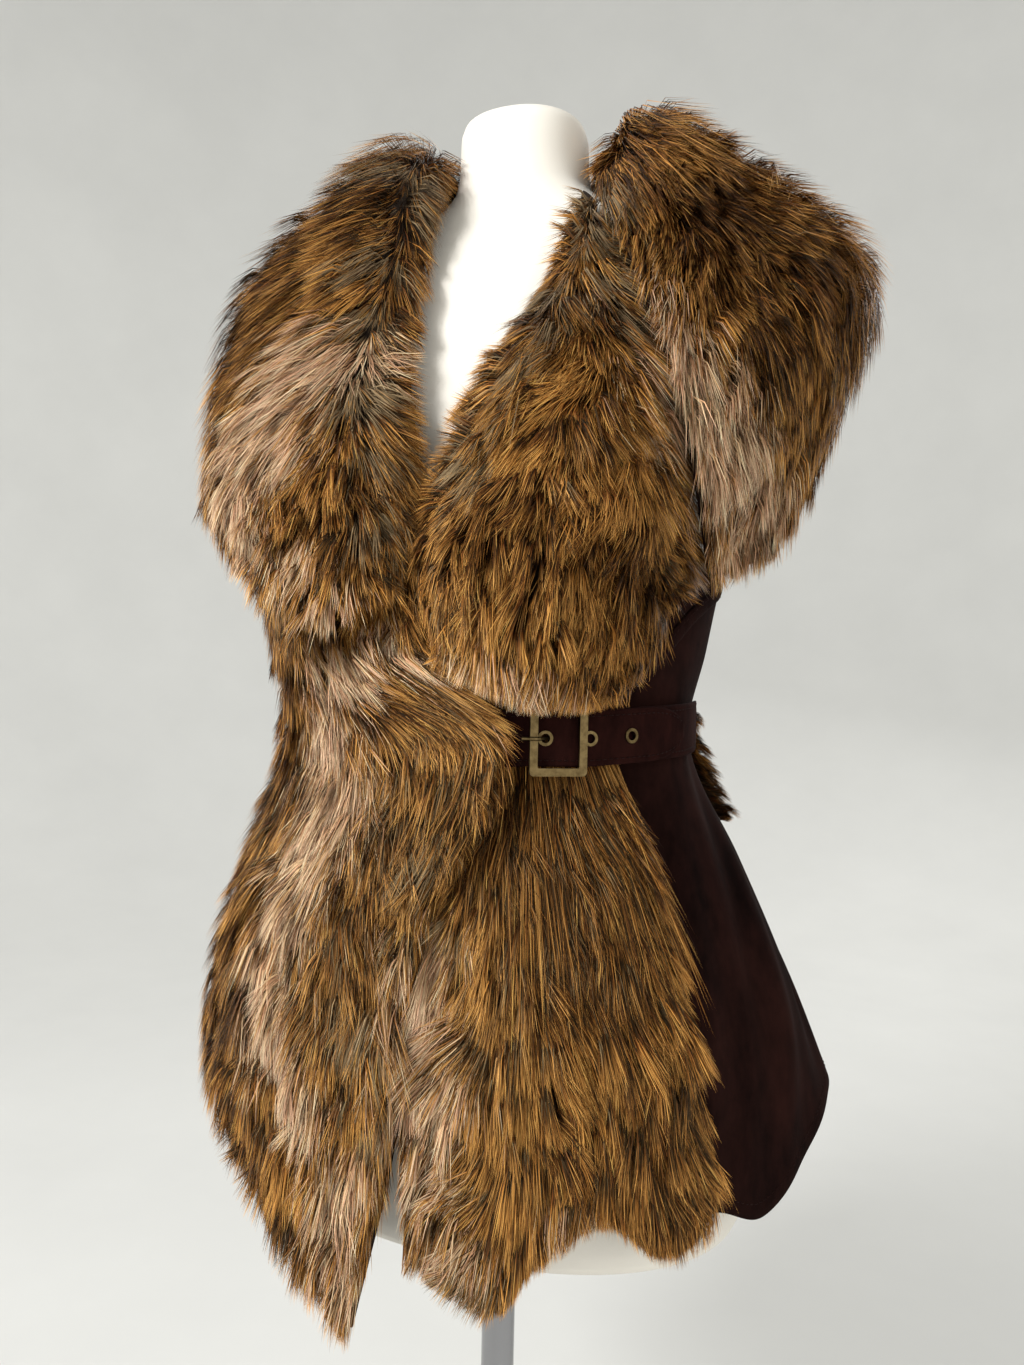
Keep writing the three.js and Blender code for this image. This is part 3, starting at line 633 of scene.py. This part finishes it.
def brass_paint():
    paint = Paint("antique_brass", metallic=1.0)
    wear = paint.noise(220, 6.0)
    paint.colour(paint.ramp(wear, [(0.35, BRASS_DARK), (0.62, BRASS)]))
    paint.rough_between(wear, 0.3, 0.55)
    paint.bump(paint.noise(700), 0.15, 0.0003)
    return paint.material


def steel_paint():
    paint = Paint("polished_steel", metallic=1.0)
    paint.colour(paint.ramp(paint.noise(8), [(0.3, STEEL), (0.7, shaded(STEEL, 0.94))]))
    paint.rough_between(paint.noise(60, 5.0), 0.08, 0.2)
    return paint.material


def form_paint():
    paint = Paint("form_cloth", roughness=0.88, specular=0.2)
    tones = [(0.3, shaded(FORM_WHITE, 0.965)), (0.7, FORM_WHITE)]
    paint.colour(paint.ramp(paint.noise(7, 3.0), tones))
    paint.bump(paint.noise(1500, 2.0, 0.5, (1.0, 1.0, 0.5)), 0.25, 0.0005)
    return paint.material


def plain_paint(name, colour, rough, glow):
    paint = Paint(name, roughness=rough, glow=glow, glow_colour=rgba(colour))
    paint.colour(paint.ramp(paint.noise(3), [(0.3, shaded(colour, 0.97)), (0.7, colour)]))
    return paint.material


# Mesh helpers

def add_object(name, data):
    thing = bpy.data.objects.new(name, data)
    studio.collection.objects.link(thing)
    return thing


def add_mesh(name, points, faces, materials):
    mesh = bpy.data.meshes.new(name)
    points = np.asarray(points, np.float32)
    faces = [np.asarray(part, np.int32) for part in (faces if isinstance(faces, list) else [faces])]
    loops = np.concatenate([part.ravel() for part in faces])
    totals = np.concatenate([np.full(len(part), part.shape[1], np.int32) for part in faces])
    mesh.vertices.add(len(points))
    mesh.vertices.foreach_set("co", points.ravel())
    mesh.loops.add(len(loops))
    mesh.loops.foreach_set("vertex_index", loops)
    mesh.polygons.add(len(totals))
    starts = np.concatenate([[0], np.cumsum(totals)[:-1]]).astype(np.int32)
    mesh.polygons.foreach_set("loop_start", starts)
    mesh.polygons.foreach_set("loop_total", totals)
    mesh.update(calc_edges=True)
    mesh.validate()
    mesh.polygons.foreach_set("use_smooth", np.ones(len(mesh.polygons), bool))
    for material in materials:
        mesh.materials.append(material)
    return add_object(name, mesh)


def keep(thing, slot, *nodes):
    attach(thing, "root")
    if nodes:
        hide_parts(*nodes)
    return thing


def even_grid(across, along):
    a, b = np.meshgrid(np.linspace(0, 1, across), np.linspace(0, 1, along))
    return a.ravel(), b.ravel()


def quads(rows, cols):
    """The corners of each square of a (rows, cols) grid, as (rows - 1, cols - 1, 4)"""
    at = np.arange(rows * cols).reshape(rows, cols)
    return np.stack([at[:-1, :-1], at[:-1, 1:], at[1:, 1:], at[1:, :-1]], -1)


def tube_quads(rows, sides):
    at = np.arange(rows * sides).reshape(rows, sides)
    after = np.roll(at, -1, 1)
    return np.stack([at[:-1], after[:-1], after[1:], at[1:]], -1).reshape(-1, 4)


def repaint(nodes, paint):
    for node in nodes:
        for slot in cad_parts[node].material_slots:
            slot.material = paint


def wall_faces(rows, cols, flip):
    """Quads of a closed wall of two (rows, cols) grids: the outer, the inner, then the rim"""
    count = rows * cols
    at = np.arange(count).reshape(rows, cols)
    outer = quads(rows, cols).reshape(-1, 4)
    inner = outer[:, ::-1] + count
    ring = np.concatenate([at[0, :-1], at[:-1, -1], at[-1, :0:-1], at[:0:-1, 0]])
    after = np.roll(ring, -1)
    rim = np.stack([after, ring, ring + count, after + count], -1)
    faces = [outer, inner, rim]
    if flip:
        faces = [part[:, ::-1] for part in faces]
    return np.concatenate(faces), [len(part) for part in faces]


def shell(name, panel, top, bottom, across, along, materials, facing, shift=None):
    """A closed wall between the depths top and bottom (metres) under a panel's outer face"""
    a, b = even_grid(across, along)
    points, normals = panel.at(panel.points, a, b), panel.normal_at(a, b)
    wall = panel.at(panel.wall, a, b)
    moved = shift(a, b)[:, None] if shift else 0
    upper = points + normals * (moved - top(wall))
    lower = points + normals * (moved - bottom(wall))
    faces, counts = wall_faces(along, across, facing < 0)
    thing = add_mesh(name, np.concatenate([upper, lower]), faces, materials)
    if len(materials) > 1:
        index = np.repeat([0, 1, 1], counts).astype(np.int32)
        thing.data.polygons.foreach_set("material_index", index)
    return thing


def waves(points, size, seed):
    """Smooth noise of about -1 to 1 in space, with bumps of the given size in metres"""
    source = np.random.default_rng(seed)
    total = np.zeros(len(points))
    for _ in range(WAVES):
        way = source.normal(size=3)
        way /= np.linalg.norm(way)
        rate = 2 * np.pi / (size * source.uniform(0.8, 1.5))
        total += np.sin(points @ way * rate + source.uniform(0, 7))
    return total / WAVE_HEIGHT


# Fur

def flow_at(table, a, b):
    """Direction in radians from the way of b towards that of a, and the lift"""
    total = np.zeros((len(a), 3))
    weights = np.zeros(len(a))
    for row_a, row_b, angle, lift in table:
        near = 1 / (((a - row_a) ** 2 + (b - row_b) ** 2) ** 1.5 + 1e-4)
        turn = math.radians(angle)
        total += near[:, None] * np.array([math.cos(turn), math.sin(turn), lift])
        weights += near
    return np.arctan2(total[:, 1], total[:, 0]), total[:, 2] / weights


def spots_at(kind, points):
    """Share of a kind of colour at each point, from 0 to 1"""
    total = np.zeros(len(points))
    for x, y, z, radius in TONE_SPOTS[kind]:
        away = np.linalg.norm(points - np.array((x, y, z)) * MM, axis=1) / (radius * MM)
        total = np.maximum(total, np.exp(-(away ** 3)))
    return total


TONE = {name: np.array(linear(colour)) for name, colour in HAIR_TONES.items()}


def nearest_locks(u, v, grid, seed):
    """The nearest middle of a jittered grid of locks, and that lock's random numbers"""
    table = np.random.default_rng(seed).random((65536, 7))
    best = np.full(len(u), 1e9)
    centre_u, centre_v = np.zeros(len(u)), np.zeros(len(u))
    facts = np.zeros((len(u), 5))
    for step_u in (-1, 0, 1):
        for step_v in (-1, 0, 1):
            cell_u = np.floor(u / grid) + step_u
            cell_v = np.floor(v / grid) + step_v
            row = table[((cell_u * 7919 + cell_v * 104729).astype(np.int64)) % 65536]
            at_u = (cell_u + 0.1 + 0.8 * row[:, 0]) * grid
            at_v = (cell_v + 0.1 + 0.8 * row[:, 1]) * grid
            away = (u - at_u) ** 2 + (v - at_v) ** 2
            near = away < best
            best = np.where(near, away, best)
            centre_u, centre_v = np.where(near, at_u, centre_u), np.where(near, at_v, centre_v)
            facts[near] = row[near, 2:]
    return centre_u, centre_v, facts


def overhang(edge, b):
    return np.interp(b, OVER_PLACES, np.broadcast_to(edge, len(OVER_PLACES)))


def grow_fur(name, panel, count, flow, seed, length=FRONT_LENGTH, over=EVEN_OVER, stray=1,
             fairer=0):
    """One mesh of bent, tapering hairs that lie along the flow in tufts. over is how far, in
    millimetres, tips may pass the panel's edges (low a, high a, low b, high b): one number
    each, or three for the start, the middle and the end of b. stray is how far tufts turn from
    the flow, and the last argument is painted light: how much lighter the hairs' colour is
    made, for pieces that get less light."""
    source = np.random.default_rng(seed)
    rows, cols = panel.area.shape
    weight = (panel.area[:-1, :-1]).ravel()
    cell = source.choice(len(weight), count, p=weight / weight.sum())
    a = (cell % (cols - 1) + source.random(count)) / (cols - 1)
    b = (cell // (cols - 1) + source.random(count)) / (rows - 1)
    surface = panel.at(panel.points, a, b)
    size_a = np.maximum(np.linalg.norm(panel.at(panel.across_step, a, b), axis=1), 0.04)
    size_b = np.maximum(np.linalg.norm(panel.at(panel.along_step, a, b), axis=1), 0.04)
    # Tufts of hair: small ones inside larger ones
    u = a * size_a + 2 * MM * waves(surface, 0.014, seed + 3)
    v = b * size_b + 2 * MM * waves(surface, 0.016, seed + 4)
    near_u, near_v, small = nearest_locks(u, v, TUFT * MM, 501)
    far_u, far_v, large = nearest_locks(u, v, BIG_TUFT * MM, 502)
    pull_a = TUFT_PULL[0] * (near_u - u) + BIG_PULL[0] * (far_u - u)
    pull_b = TUFT_PULL[1] * (near_v - v) + BIG_PULL[1] * (far_v - v)
    turn, stand = flow_at(flow, a, b)
    turn += np.radians(WAVE_TURN) * waves(surface, 0.06, 61)
    turn += np.radians(RIPPLE_TURN) * waves(surface, 0.025, 62)
    turn += stray * np.radians(TUFT_TURN) * (small[:, 0] - 0.5)
    turn += stray * np.radians(BIG_TURN) * (large[:, 0] - 0.5)
    turn += np.radians(HAIR_TURN) * source.normal(size=count)
    reach = source.uniform(length[0], length[1], count) * MM
    reach *= (0.78 + 0.44 * small[:, 1]) * (0.9 + 0.2 * large[:, 1])
    beside = ((u - near_u) * np.cos(turn) - (v - near_v) * np.sin(turn)) / (TUFT * MM * 0.6)
    beside = np.clip(beside, -1, 1)
    # A hair whose tip would hang far over the edge grows further in
    to_a = a + (reach * np.sin(turn) + pull_a) / size_a
    to_b = b + (reach * np.cos(turn) + pull_b) / size_b
    spare = MM * (0.1 + 1.4 * small[:, 2] * source.uniform(0.6, 1.2, count))
    low_a, high_a, low_b, high_b = (overhang(edge, b) * spare for edge in over)
    a = a - (to_a - np.clip(to_a, -low_a / size_a, 1 + high_a / size_a))
    b = b - (to_b - np.clip(to_b, -low_b / size_b, 1 + high_b / size_b))
    a, b = np.clip(a, 0.004, 0.996), np.clip(b, 0.004, 0.996)

    def move(share, tighten):
        to_a = a + (reach * share * np.sin(turn) + tighten * pull_a) / size_a
        to_b = b + (reach * share * np.cos(turn) + tighten * pull_b) / size_b
        held_a, held_b = np.clip(to_a, 0, 1), np.clip(to_b, 0, 1)
        point = panel.at(panel.points, held_a, held_b)
        beyond = (to_a - held_a)[:, None] * panel.at(panel.across_step, held_a, held_b)
        beyond += (to_b - held_b)[:, None] * panel.at(panel.along_step, held_a, held_b)
        return point + beyond, panel.normal_at(held_a, held_b)

    bed = (panel.at(panel.wall, a, b)[:, 0] - BACKING * MM)[:, None]
    least, of_hair, of_tuft, of_large = LIFT_SHARES
    lift = least + of_hair * source.random(count) + of_tuft * small[:, 3] + of_large * large[:, 3]
    lift += STANDING_LIFT * (small[:, 1] > STANDING_TUFTS)
    lift = (stand * (lift - TUFT_CROWN * beside ** 2))[:, None]
    root, root_normal = move(0, 0)
    root = root - root_normal * bed
    middle, middle_normal = move(BEND_PLACE, BEND_PULL)
    middle = middle - middle_normal * bed * (1 - BEND_LIFT * lift)
    tip, tip_normal = move(1.0, 1.0)
    tip = tip - tip_normal * bed * (1 - lift)
    # A hair is a narrow kite; the sides of a tuft face away from its middle
    line = unit(tip - root)
    side = unit(np.cross(line, root_normal))
    across = panel.at(panel.across_step, a, b) / size_a[:, None] * np.cos(turn)[:, None]
    across -= panel.at(panel.along_step, a, b) / size_b[:, None] * np.sin(turn)[:, None]
    hand = -np.sign(np.sum(side * across, axis=1))
    roll = np.radians(42) * beside * hand + np.radians(30) * (small[:, 4] - 0.5)
    roll = (roll + np.radians(10) * source.normal(size=count))[:, None]
    side = side * np.cos(roll) + np.cross(side, line) * np.sin(roll)
    half = (HAIR_WIDTH * MM / 2 * source.uniform(0.7, 1.3, count))[:, None]
    points = np.stack([root, middle - side * half, middle + side * half, tip], 1)
    base = np.arange(count)[:, None] * 4
    faces = np.stack([base + [[0, 2, 1]], base + [[1, 2, 3]]], 1).reshape(-1, 3)
    thing = add_mesh(name, points.reshape(-1, 3), faces, [FUR_PAINT])
    colours = hair_colours(surface, small, large, source, fairer)
    layer = thing.data.color_attributes.new("hair_colour", "FLOAT_COLOR", "POINT")
    layer.data.foreach_set("color", colours.astype(np.float32).ravel())
    return keep(thing, "fur")


def tones_by(mood, steps):
    kinds = [(mood < step)[:, None] for step in steps.values()]
    return np.select(kinds, [TONE[name] for name in steps])


def hair_colours(surface, small, large, source, fairer):
    """Colours of each hair's four points: the root, two at its widest and the tip"""
    count = len(surface)
    wander = surface + 7 * MM * np.stack([waves(surface, 0.03, 71 + k) for k in range(3)], 1)
    pale, grey, dark = (spots_at(kind, wander) for kind in ("pale", "grey", "dark"))
    mood = 0.26 * small[:, 4] + 0.66 * source.random(count) + 0.08 * large[:, 4]
    # The last term is painted light: hairs on the collars and lapel are coloured lighter because those
    # pieces get less light
    mood = mood - 0.2 * dark + 0.04 * waves(surface, 0.06, 81) + 0.055 + fairer
    middle = tones_by(mood, MIDDLE_STEPS)
    tips = tones_by(mood, TIP_STEPS)
    is_pale = (source.random(count) < pale * (0.7 + 0.6 * small[:, 4]))[:, None]
    fair = np.where(source.random(count)[:, None] < 0.45, TONE["pink"], TONE["cream"])
    middle = np.where(is_pale, fair * TONE["tan"], middle)
    tips = np.where(is_pale, np.where(source.random(count)[:, None] < 0.2, TONE["brown"], fair), tips)
    is_grey = (source.random(count) < 0.85 * grey)[:, None]
    middle = np.where(is_grey, TONE["grey"] * 0.9, middle)
    tips = np.where(is_grey, TONE["grey"], tips)
    # Roots carry painted shade from deep in the fur, lightened towards grey in grey and pale zones
    shaded_roots = TONE["root"] + (TONE["grey"] * 0.7 - TONE["root"]) * np.maximum(grey, 0.5 * pale)[:, None]
    shade = ((0.75 + 0.5 * source.random(count)) * (0.78 + 0.4 * small[:, 2]))[:, None, None]
    colours = np.stack([shaded_roots, middle, middle, tips], 1) * shade
    return np.concatenate([np.clip(colours, 0, 1), np.ones((count, 4, 1))], 2)


# Dress form and stand

def rings(name, sections, sides, materials, squareness):
    angle = np.arange(sides) * 2 * np.pi / sides
    power = 2 / squareness
    c = np.sign(np.cos(angle)) * np.abs(np.cos(angle)) ** power
    s = np.sign(np.sin(angle)) * np.abs(np.sin(angle)) ** power
    points = np.stack([
        sections[:, 1:2] * c,
        sections[:, 2:3] * s + sections[:, 3:4],
        np.repeat(sections[:, 0:1], sides, 1),
    ], -1).reshape(-1, 3) * MM
    side = tube_quads(len(sections), sides)
    ring = np.arange(sides)
    after = np.roll(ring, -1)
    last = (len(sections) - 1) * sides
    low, high = len(points), len(points) + 1
    centres = np.array([[0, section[3], section[0]] for section in (sections[0], sections[-1])]) * MM
    bottom = np.stack([np.full(sides, low), after, ring], -1)
    top = np.stack([np.full(sides, high), ring + last, after + last], -1)
    points = np.concatenate([points, centres])
    return add_mesh(name, points, [side, np.concatenate([bottom, top])], materials)


def finer_sections():
    """The form's sections with rounder ones between them, with no overshoot"""
    z = FORM_SECTIONS[:, 0]
    made = []
    for low, high in zip(z, z[1:]):
        count = FINER_STEPS if high - low > FINE_ENOUGH else 1
        made.extend(low + (high - low) * np.arange(count) / count)
    made = np.array(made + [z[-1]])
    columns = [made]
    for k in (1, 2, 3):
        columns.append(monotone(z, FORM_SECTIONS[:, k], made))
    return np.stack(columns, 1)


def monotone(x, y, at):
    """Smooth curve that keeps between its neighbours' values"""
    h = np.diff(x)
    slope = np.diff(y) / h
    tangent = np.zeros(len(x))
    for i in range(1, len(x) - 1):
        if slope[i - 1] * slope[i] > 0:
            w1, w2 = 2 * h[i] + h[i - 1], h[i] + 2 * h[i - 1]
            tangent[i] = (w1 + w2) / (w1 / slope[i - 1] + w2 / slope[i])
    tangent[0], tangent[-1] = slope[0], slope[-1]
    i = np.clip(np.searchsorted(x, at, "right") - 1, 0, len(x) - 2)
    u = (at - x[i]) / h[i]
    return (
        y[i] * (1 + 2 * u) * (1 - u) ** 2 + tangent[i] * h[i] * u * (1 - u) ** 2
        + y[i + 1] * u * u * (3 - 2 * u) + tangent[i + 1] * h[i] * u * u * (u - 1)
    )


def add_form():
    torso = rings("form_body", finer_sections(), FORM_SIDES, [FORM_PAINT], FORM_SQUARENESS)
    keep(torso, "form", "form_torso")
    repaint(("form_pole", "form_base"), STEEL_PAINT)


# Pieces

def declare_sheet(panel):
    wide, long = panel.size()
    area = min(panel.square_metres(), wide * long)


def add_fur_panel(name, node, panel, facing, hairs, flow, rests_on, held="hung", **fur):
    """Backing cloth inside the fur's solid, and the fur that grows on it"""
    backing = shell(
        name + "_cloth", panel, lambda w: w - BACKING * MM, lambda w: w - GAP * MM,
        *BACKING_GRID, [UNDERFUR_PAINT, SUEDE_PAINT], facing,
    )
    keep(backing, "fur", node)
    parts = 1 + (hairs - 1) // MOST_HAIRS
    for part in range(parts):
        count = hairs // parts
        label = name + "_fur" + ("" if parts == 1 else f"_{part + 1}")
        grow_fur(label, panel, count, flow, 11 + 40 * part, **fur)
    declare_sheet(panel)


def add_suede_panel(name, node, panel, facing, shift=None, across=65, along=89,
                    stitches=()):
    thing = shell(
        name + "_cloth", panel, lambda w: 0 * w, lambda w: w, across, along, [SUEDE_PAINT], facing, shift,
    )
    keep(thing, "suede", node)
    threads = [stitch_row(f"{name}_{row[0]}_thread", panel, row[1:], shift, "suede") for row in stitches]
    declare_sheet(panel)


def stitch_row(name, panel, ends, shift, slot):
    """Threads of a straight row on a panel's face, from one (a, b) to another"""
    t = np.linspace(0, 1, 400)
    a, b = ends[0] + (ends[2] - ends[0]) * t, ends[1] + (ends[3] - ends[1]) * t
    path, normals = panel.at(panel.points, a, b), panel.normal_at(a, b)
    if shift:
        path = path + normals * shift(a, b)[:, None]
    length = np.concatenate([[0], np.cumsum(np.linalg.norm(np.diff(path, axis=0), axis=1))])
    count = max(2, int(length[-1] / (STITCH_STEP * MM)))
    start = np.arange(count) * length[-1] / count

    def along(values, place):
        return np.stack([np.interp(place, length, values[:, k]) for k in range(3)], 1)

    rings = []
    for share, height, thick in STITCH_SHAPE:
        place = start + share * STITCH * MM
        point, normal = along(path, place), along(normals, place)
        ahead = along(path, place + MM) - point
        ahead[-1] = ahead[-2]
        side = unit(np.cross(ahead, normal))
        point = point + normal * height * MM
        around = [(math.cos(k), math.sin(k)) for k in (0, math.pi / 2, math.pi, 1.5 * math.pi)]
        rings.append(np.stack([point + (side * c + normal * n) * thick * MM for c, n in around], 1))
    points = np.stack(rings, 1).reshape(-1, 3)
    base = np.arange(count)[:, None] * 16
    faces = []
    for ring in range(3):
        for k in range(4):
            low, after = ring * 4 + k, ring * 4 + (k + 1) % 4
            faces.append(base + [[low, after, after + 4, low + 4]])
    for cap in ([3, 2, 1, 0], [12, 13, 14, 15]):
        faces.append(base + [cap])
    return keep(add_mesh(name, points, np.concatenate(faces), [THREAD_PAINT]), slot)


def add_strap(name, node, line, taper, across, along, eyelets):
    """A belt strap: a closed wall with sewn grooves along its edges and holes at its eyelets"""
    panel = Panel(strap_sheet(line, taper), -1, across=61, along=301, wall=BELT_CLOTH)
    a, b = even_grid(across, along)
    points, normals = panel.at(panel.points, a, b), panel.normal_at(a, b)
    upper = points + normals * strap_relief(a, b)[:, None]
    lower = points - normals * BELT_CLOTH * MM
    corners = quads(along, across)
    centres = points[corners].mean(2)
    kept = np.ones(centres.shape[:2], bool)
    for eyelet in eyelets:
        middle = np.mean([eyelet.matrix_world @ vertex.co for vertex in eyelet.data.vertices], axis=0)
        kept &= np.linalg.norm(centres - middle, axis=2) > HOLE * MM
    outer = corners[kept]
    faces = [outer[:, ::-1], outer + across * along]
    for k, step in enumerate(((-1, 0), (0, 1), (1, 0), (0, -1))):
        beyond = np.pad(kept, 1)[1 + step[0]:, 1 + step[1]:][:kept.shape[0], :kept.shape[1]]
        rim = corners[kept & ~beyond]
        first, second = rim[:, k], rim[:, (k + 1) % 4]
        faces.append(np.stack([first, second, second + across * along, first + across * along], -1))
    thing = add_mesh(name, np.concatenate([upper, lower]), np.concatenate(faces), [BELT_PAINT])
    keep(thing, "belt", node)
    for number, row in enumerate(STRAP_ROWS, 1):
        stitch_row(f"{name}_thread_{number}", panel, row, None, "belt")
    declare_sheet(panel)


def strap_relief(a, b):
    """Depth in metres of a strap's sewn groove and its soft edges"""
    from_edge = BELT_WIDTH * np.minimum(a, 1 - a)
    groove = 0.25 * np.exp(-((from_edge - 0.11 * BELT_WIDTH) / 1.2) ** 2)
    return -MM * (groove + 0.5 * np.exp(-((from_edge / 0.8) ** 2)))


FUR_PAINT = fur_paint()
UNDERFUR_PAINT = underfur_paint()
SUEDE_PAINT = suede_paint("suede", SUEDE_DARK, SUEDE_LIGHT)
BELT_PAINT = suede_paint("belt_suede", BELT_DARK, BELT_LIGHT, 60.0)
THREAD_PAINT = thread_paint()
BRASS_PAINT = brass_paint()
STEEL_PAINT = steel_paint()
FORM_PAINT = form_paint()

add_form()

right_front = Panel(hanging_sheet(RIGHT_FRONT_LINES), -1)
left_front = Panel(hanging_sheet(LEFT_FRONT_LINES), -1)
collar_sheet = sheet_through(COLLAR_SECTIONS)
spans = len(COLLAR_SECTIONS) - 1
right_seam = (COLLAR_RIGHT_ROWS - 1) / spans
left_seam = right_seam + COLLAR_BACK_ROWS / spans
collar_wall = dict(wall=lambda t: COLLAR_FUR * collar_thinning(t))
collar_right = Panel(collar_sheet, 1, (0, 0), (right_seam - COLLAR_SEAM_GAP, 1), **collar_wall)
collar_back = Panel(collar_sheet, 1, (right_seam, 0), (left_seam, 1), **collar_wall)
collar_left = Panel(collar_sheet, 1, (left_seam + COLLAR_SEAM_GAP / 2, 0), (1, 1), **collar_wall)
lapel = Panel(sheet_through(LAPEL_SECTIONS), 1, **collar_wall)

add_fur_panel("right_front", "front_right_fur", right_front, -1, 118000, RIGHT_FRONT_FLOW,
              ["form_torso", "back_suede"], over=(6, (10, 12, 5), 14, 4), stray=0.8)
add_fur_panel("left_front", "front_left_fur", left_front, -1, 66000, LEFT_FRONT_FLOW,
              ["form_torso", "side_left_suede"], over=(3, 6, 4, 1), stray=0.4)
# The collars and the lapel get painted light: their hairs are coloured lighter because they get less light
add_fur_panel("right_collar", "collar_right", collar_right, 1, 70000, COLLAR_RIGHT_FLOW,
              ["form_torso", "front_right_fur"], "folded", length=COLLAR_LENGTH, fairer=0.06,
              over=(26, 5, 7, 8))
add_fur_panel("back_collar", "collar_back", collar_back, 1, 32000, COLLAR_BACK_FLOW,
              ["form_torso", "back_suede"], "folded", length=COLLAR_LENGTH, fairer=0.06,
              over=(5, 5, 4, 6))
add_fur_panel("left_collar", "collar_left", collar_left, 1, 54000, COLLAR_LEFT_FLOW,
              ["form_torso"], "folded", length=COLLAR_LENGTH, fairer=0.07,
              over=(5, (22, 20, 10), 16, 7))
add_fur_panel("left_lapel", "lapel_left", lapel, 1, 50000, LAPEL_FLOW,
              ["form_torso", "front_left_suede"], "folded", length=COLLAR_LENGTH, fairer=0.08,
              over=(22, 4, 5, 20))

# Suede panels
SIDE_SEAM = (SIDE_ROWS - 1) / (len(SHELL_LINES) - 1)
SEAM_FUR_END = SIDE_SEAM + SEAM_GAP + (1 - SIDE_SEAM - SEAM_GAP) / 18
shell_sheet = hanging_sheet(SHELL_LINES)
side_left = Panel(shell_sheet, -1, (0, 0), (SIDE_SEAM + SEAM_CLOSED * SEAM_GAP, 1), wall=SUEDE)
back = Panel(shell_sheet, -1, (SIDE_SEAM + SEAM_GAP, 0), (1, 1), across=221, wall=SUEDE)
bodice = Panel(bodice_sheet(), -1, wall=SUEDE)


def side_folds(a, b):
    # Folds start below the belt, and fade at the hem and the seam
    low = np.clip((b - 0.33) / 0.35, 0, 1)
    low = low * (1 - 0.7 * np.clip((b - 0.8) / 0.2, 0, 1)) * np.clip((1 - a) / 0.14, 0, 1)
    return MM * low * (2.6 * np.sin(a * 15 + 6 * b) + 1.4 * np.sin(a * 34 + 9 * b))


def edge_roll(a, b):
    return MM * (0.5 - 1.1 * (2 * a - 1) ** 2 + 0.15 * np.sin(90 * b))


def back_folds(a, b):
    low = np.clip((b - 0.5) / 0.3, 0, 1) * np.clip(a / 0.06, 0, 1)
    return MM * low * (1.8 * np.sin(a * 40 + 1.4 * np.sin(b * 4)) + 0.6 * np.sin(a * 90 + 2 * b))


add_suede_panel("left_side", "side_left_suede", side_left, -1, side_folds,
                stitches=(HEM_ROW, TOP_ROW))
add_suede_panel("back", "back_suede", back, -1, back_folds, 121, 81,
                stitches=(HEM_ROW, SEAM_ROW))
add_suede_panel("left_bodice", "front_left_suede", bodice, -1, None, 33, 49)
edge = Panel(edge_sheet(shell_sheet), -1, across=9, wall=EDGE_CLOTH, lift=EDGE_CLOTH + 2 * GAP)
add_suede_panel("left_edge", "edge_left_suede", edge, -1, edge_roll, 9, 65,
                EDGE_ROWS)
seam = Panel(shell_sheet, -1, (SIDE_SEAM + SEAM_GAP, SEAM_FUR_ROWS[0]), (SEAM_FUR_END, SEAM_FUR_ROWS[1]),
             wall=SEAM_FUR, lift=SEAM_FUR + GAP)
add_fur_panel("left_seam", "seam_left_fur", seam, -1, 6000, SEAM_FLOW, ["back_suede"],
              over=(7, 6, 5, 4), length=(10, 20))

# Belt
EYELETS = ["belt_eyelet_1", "belt_eyelet_2", "belt_eyelet_3"]
add_strap("belt_tip_cloth", "belt_tip", BELT_TIP_LINE, tip_taper, 28, 122,
          [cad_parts[name] for name in EYELETS])
add_strap("belt_end_cloth", "belt_buckle_end", BELT_END_LINE, np.ones_like, 19, 61,
          [])
repaint(["buckle_frame", "buckle_prong"] + EYELETS, BRASS_PAINT)


# Floor, light and camera

def add_floor():
    """A wide floor that curves up into a wall all round"""
    angle = np.linspace(0, 2 * np.pi, 97)[:-1]
    bend = np.radians(np.linspace(0, 90, 13))
    flat = np.array([[0.0, 0], [0.5, 0], [1, 0], [1.5, 0]])
    curve = np.stack([COVE_START + COVE_RADIUS * np.sin(bend), COVE_RADIUS * (1 - np.cos(bend))], 1)
    profile = np.concatenate([flat, curve, [[COVE_START + COVE_RADIUS, WALL_TOP]]])
    points = np.array([[r * math.cos(k), r * math.sin(k), z] for r, z in profile for k in angle])
    faces = tube_quads(len(profile), len(angle))[:, [0, 3, 2, 1]]
    add_mesh("floor", points, faces, [plain_paint("floor", FLOOR, 0.95, FLOOR_GLOW)])


def add_light(name, place, target, size, power):
    data = bpy.data.lights.new(name, "AREA")
    data.shape = "DISK"
    data.size = size
    data.energy = power
    thing = add_object(name, data)
    thing.location = place
    way = np.array(target, float) - np.array(place, float)
    thing.rotation_mode = "QUATERNION"
    thing.rotation_quaternion = Vector(way).to_track_quat("-Z", "Y")


def add_camera():
    data = bpy.data.cameras.new("camera")
    data.lens = FOCAL_PIXELS * SENSOR / PICTURE_HEIGHT
    data.sensor_width = SENSOR
    data.sensor_fit = "AUTO"
    data.clip_end = 60
    camera = add_object("camera", data)
    turn = math.radians(CAMERA_AZIMUTH)
    out = Vector((math.sin(turn), -math.cos(turn), 0))
    place = out * CAMERA_DISTANCE + Vector((0, 0, CAMERA_HEIGHT))
    look = (-out).to_track_quat("-Z", "Y").to_matrix().to_4x4()
    roll = Matrix.Rotation(math.radians(CAMERA_ROLL), 4, "Z")
    camera.matrix_world = Matrix.Translation(place) @ look @ roll
    studio.camera = camera


def add_world():
    world = bpy.data.worlds.new("studio")
    world.use_nodes = True
    sky = world.node_tree.nodes["Background"]
    sky.inputs["Color"].default_value = rgba(WORLD_COLOUR)
    sky.inputs["Strength"].default_value = WORLD_STRENGTH
    studio.world = world


add_floor()
add_world()
for light in LIGHTS:
    add_light(*light)
add_camera()
studio.view_settings.view_transform = "Standard"
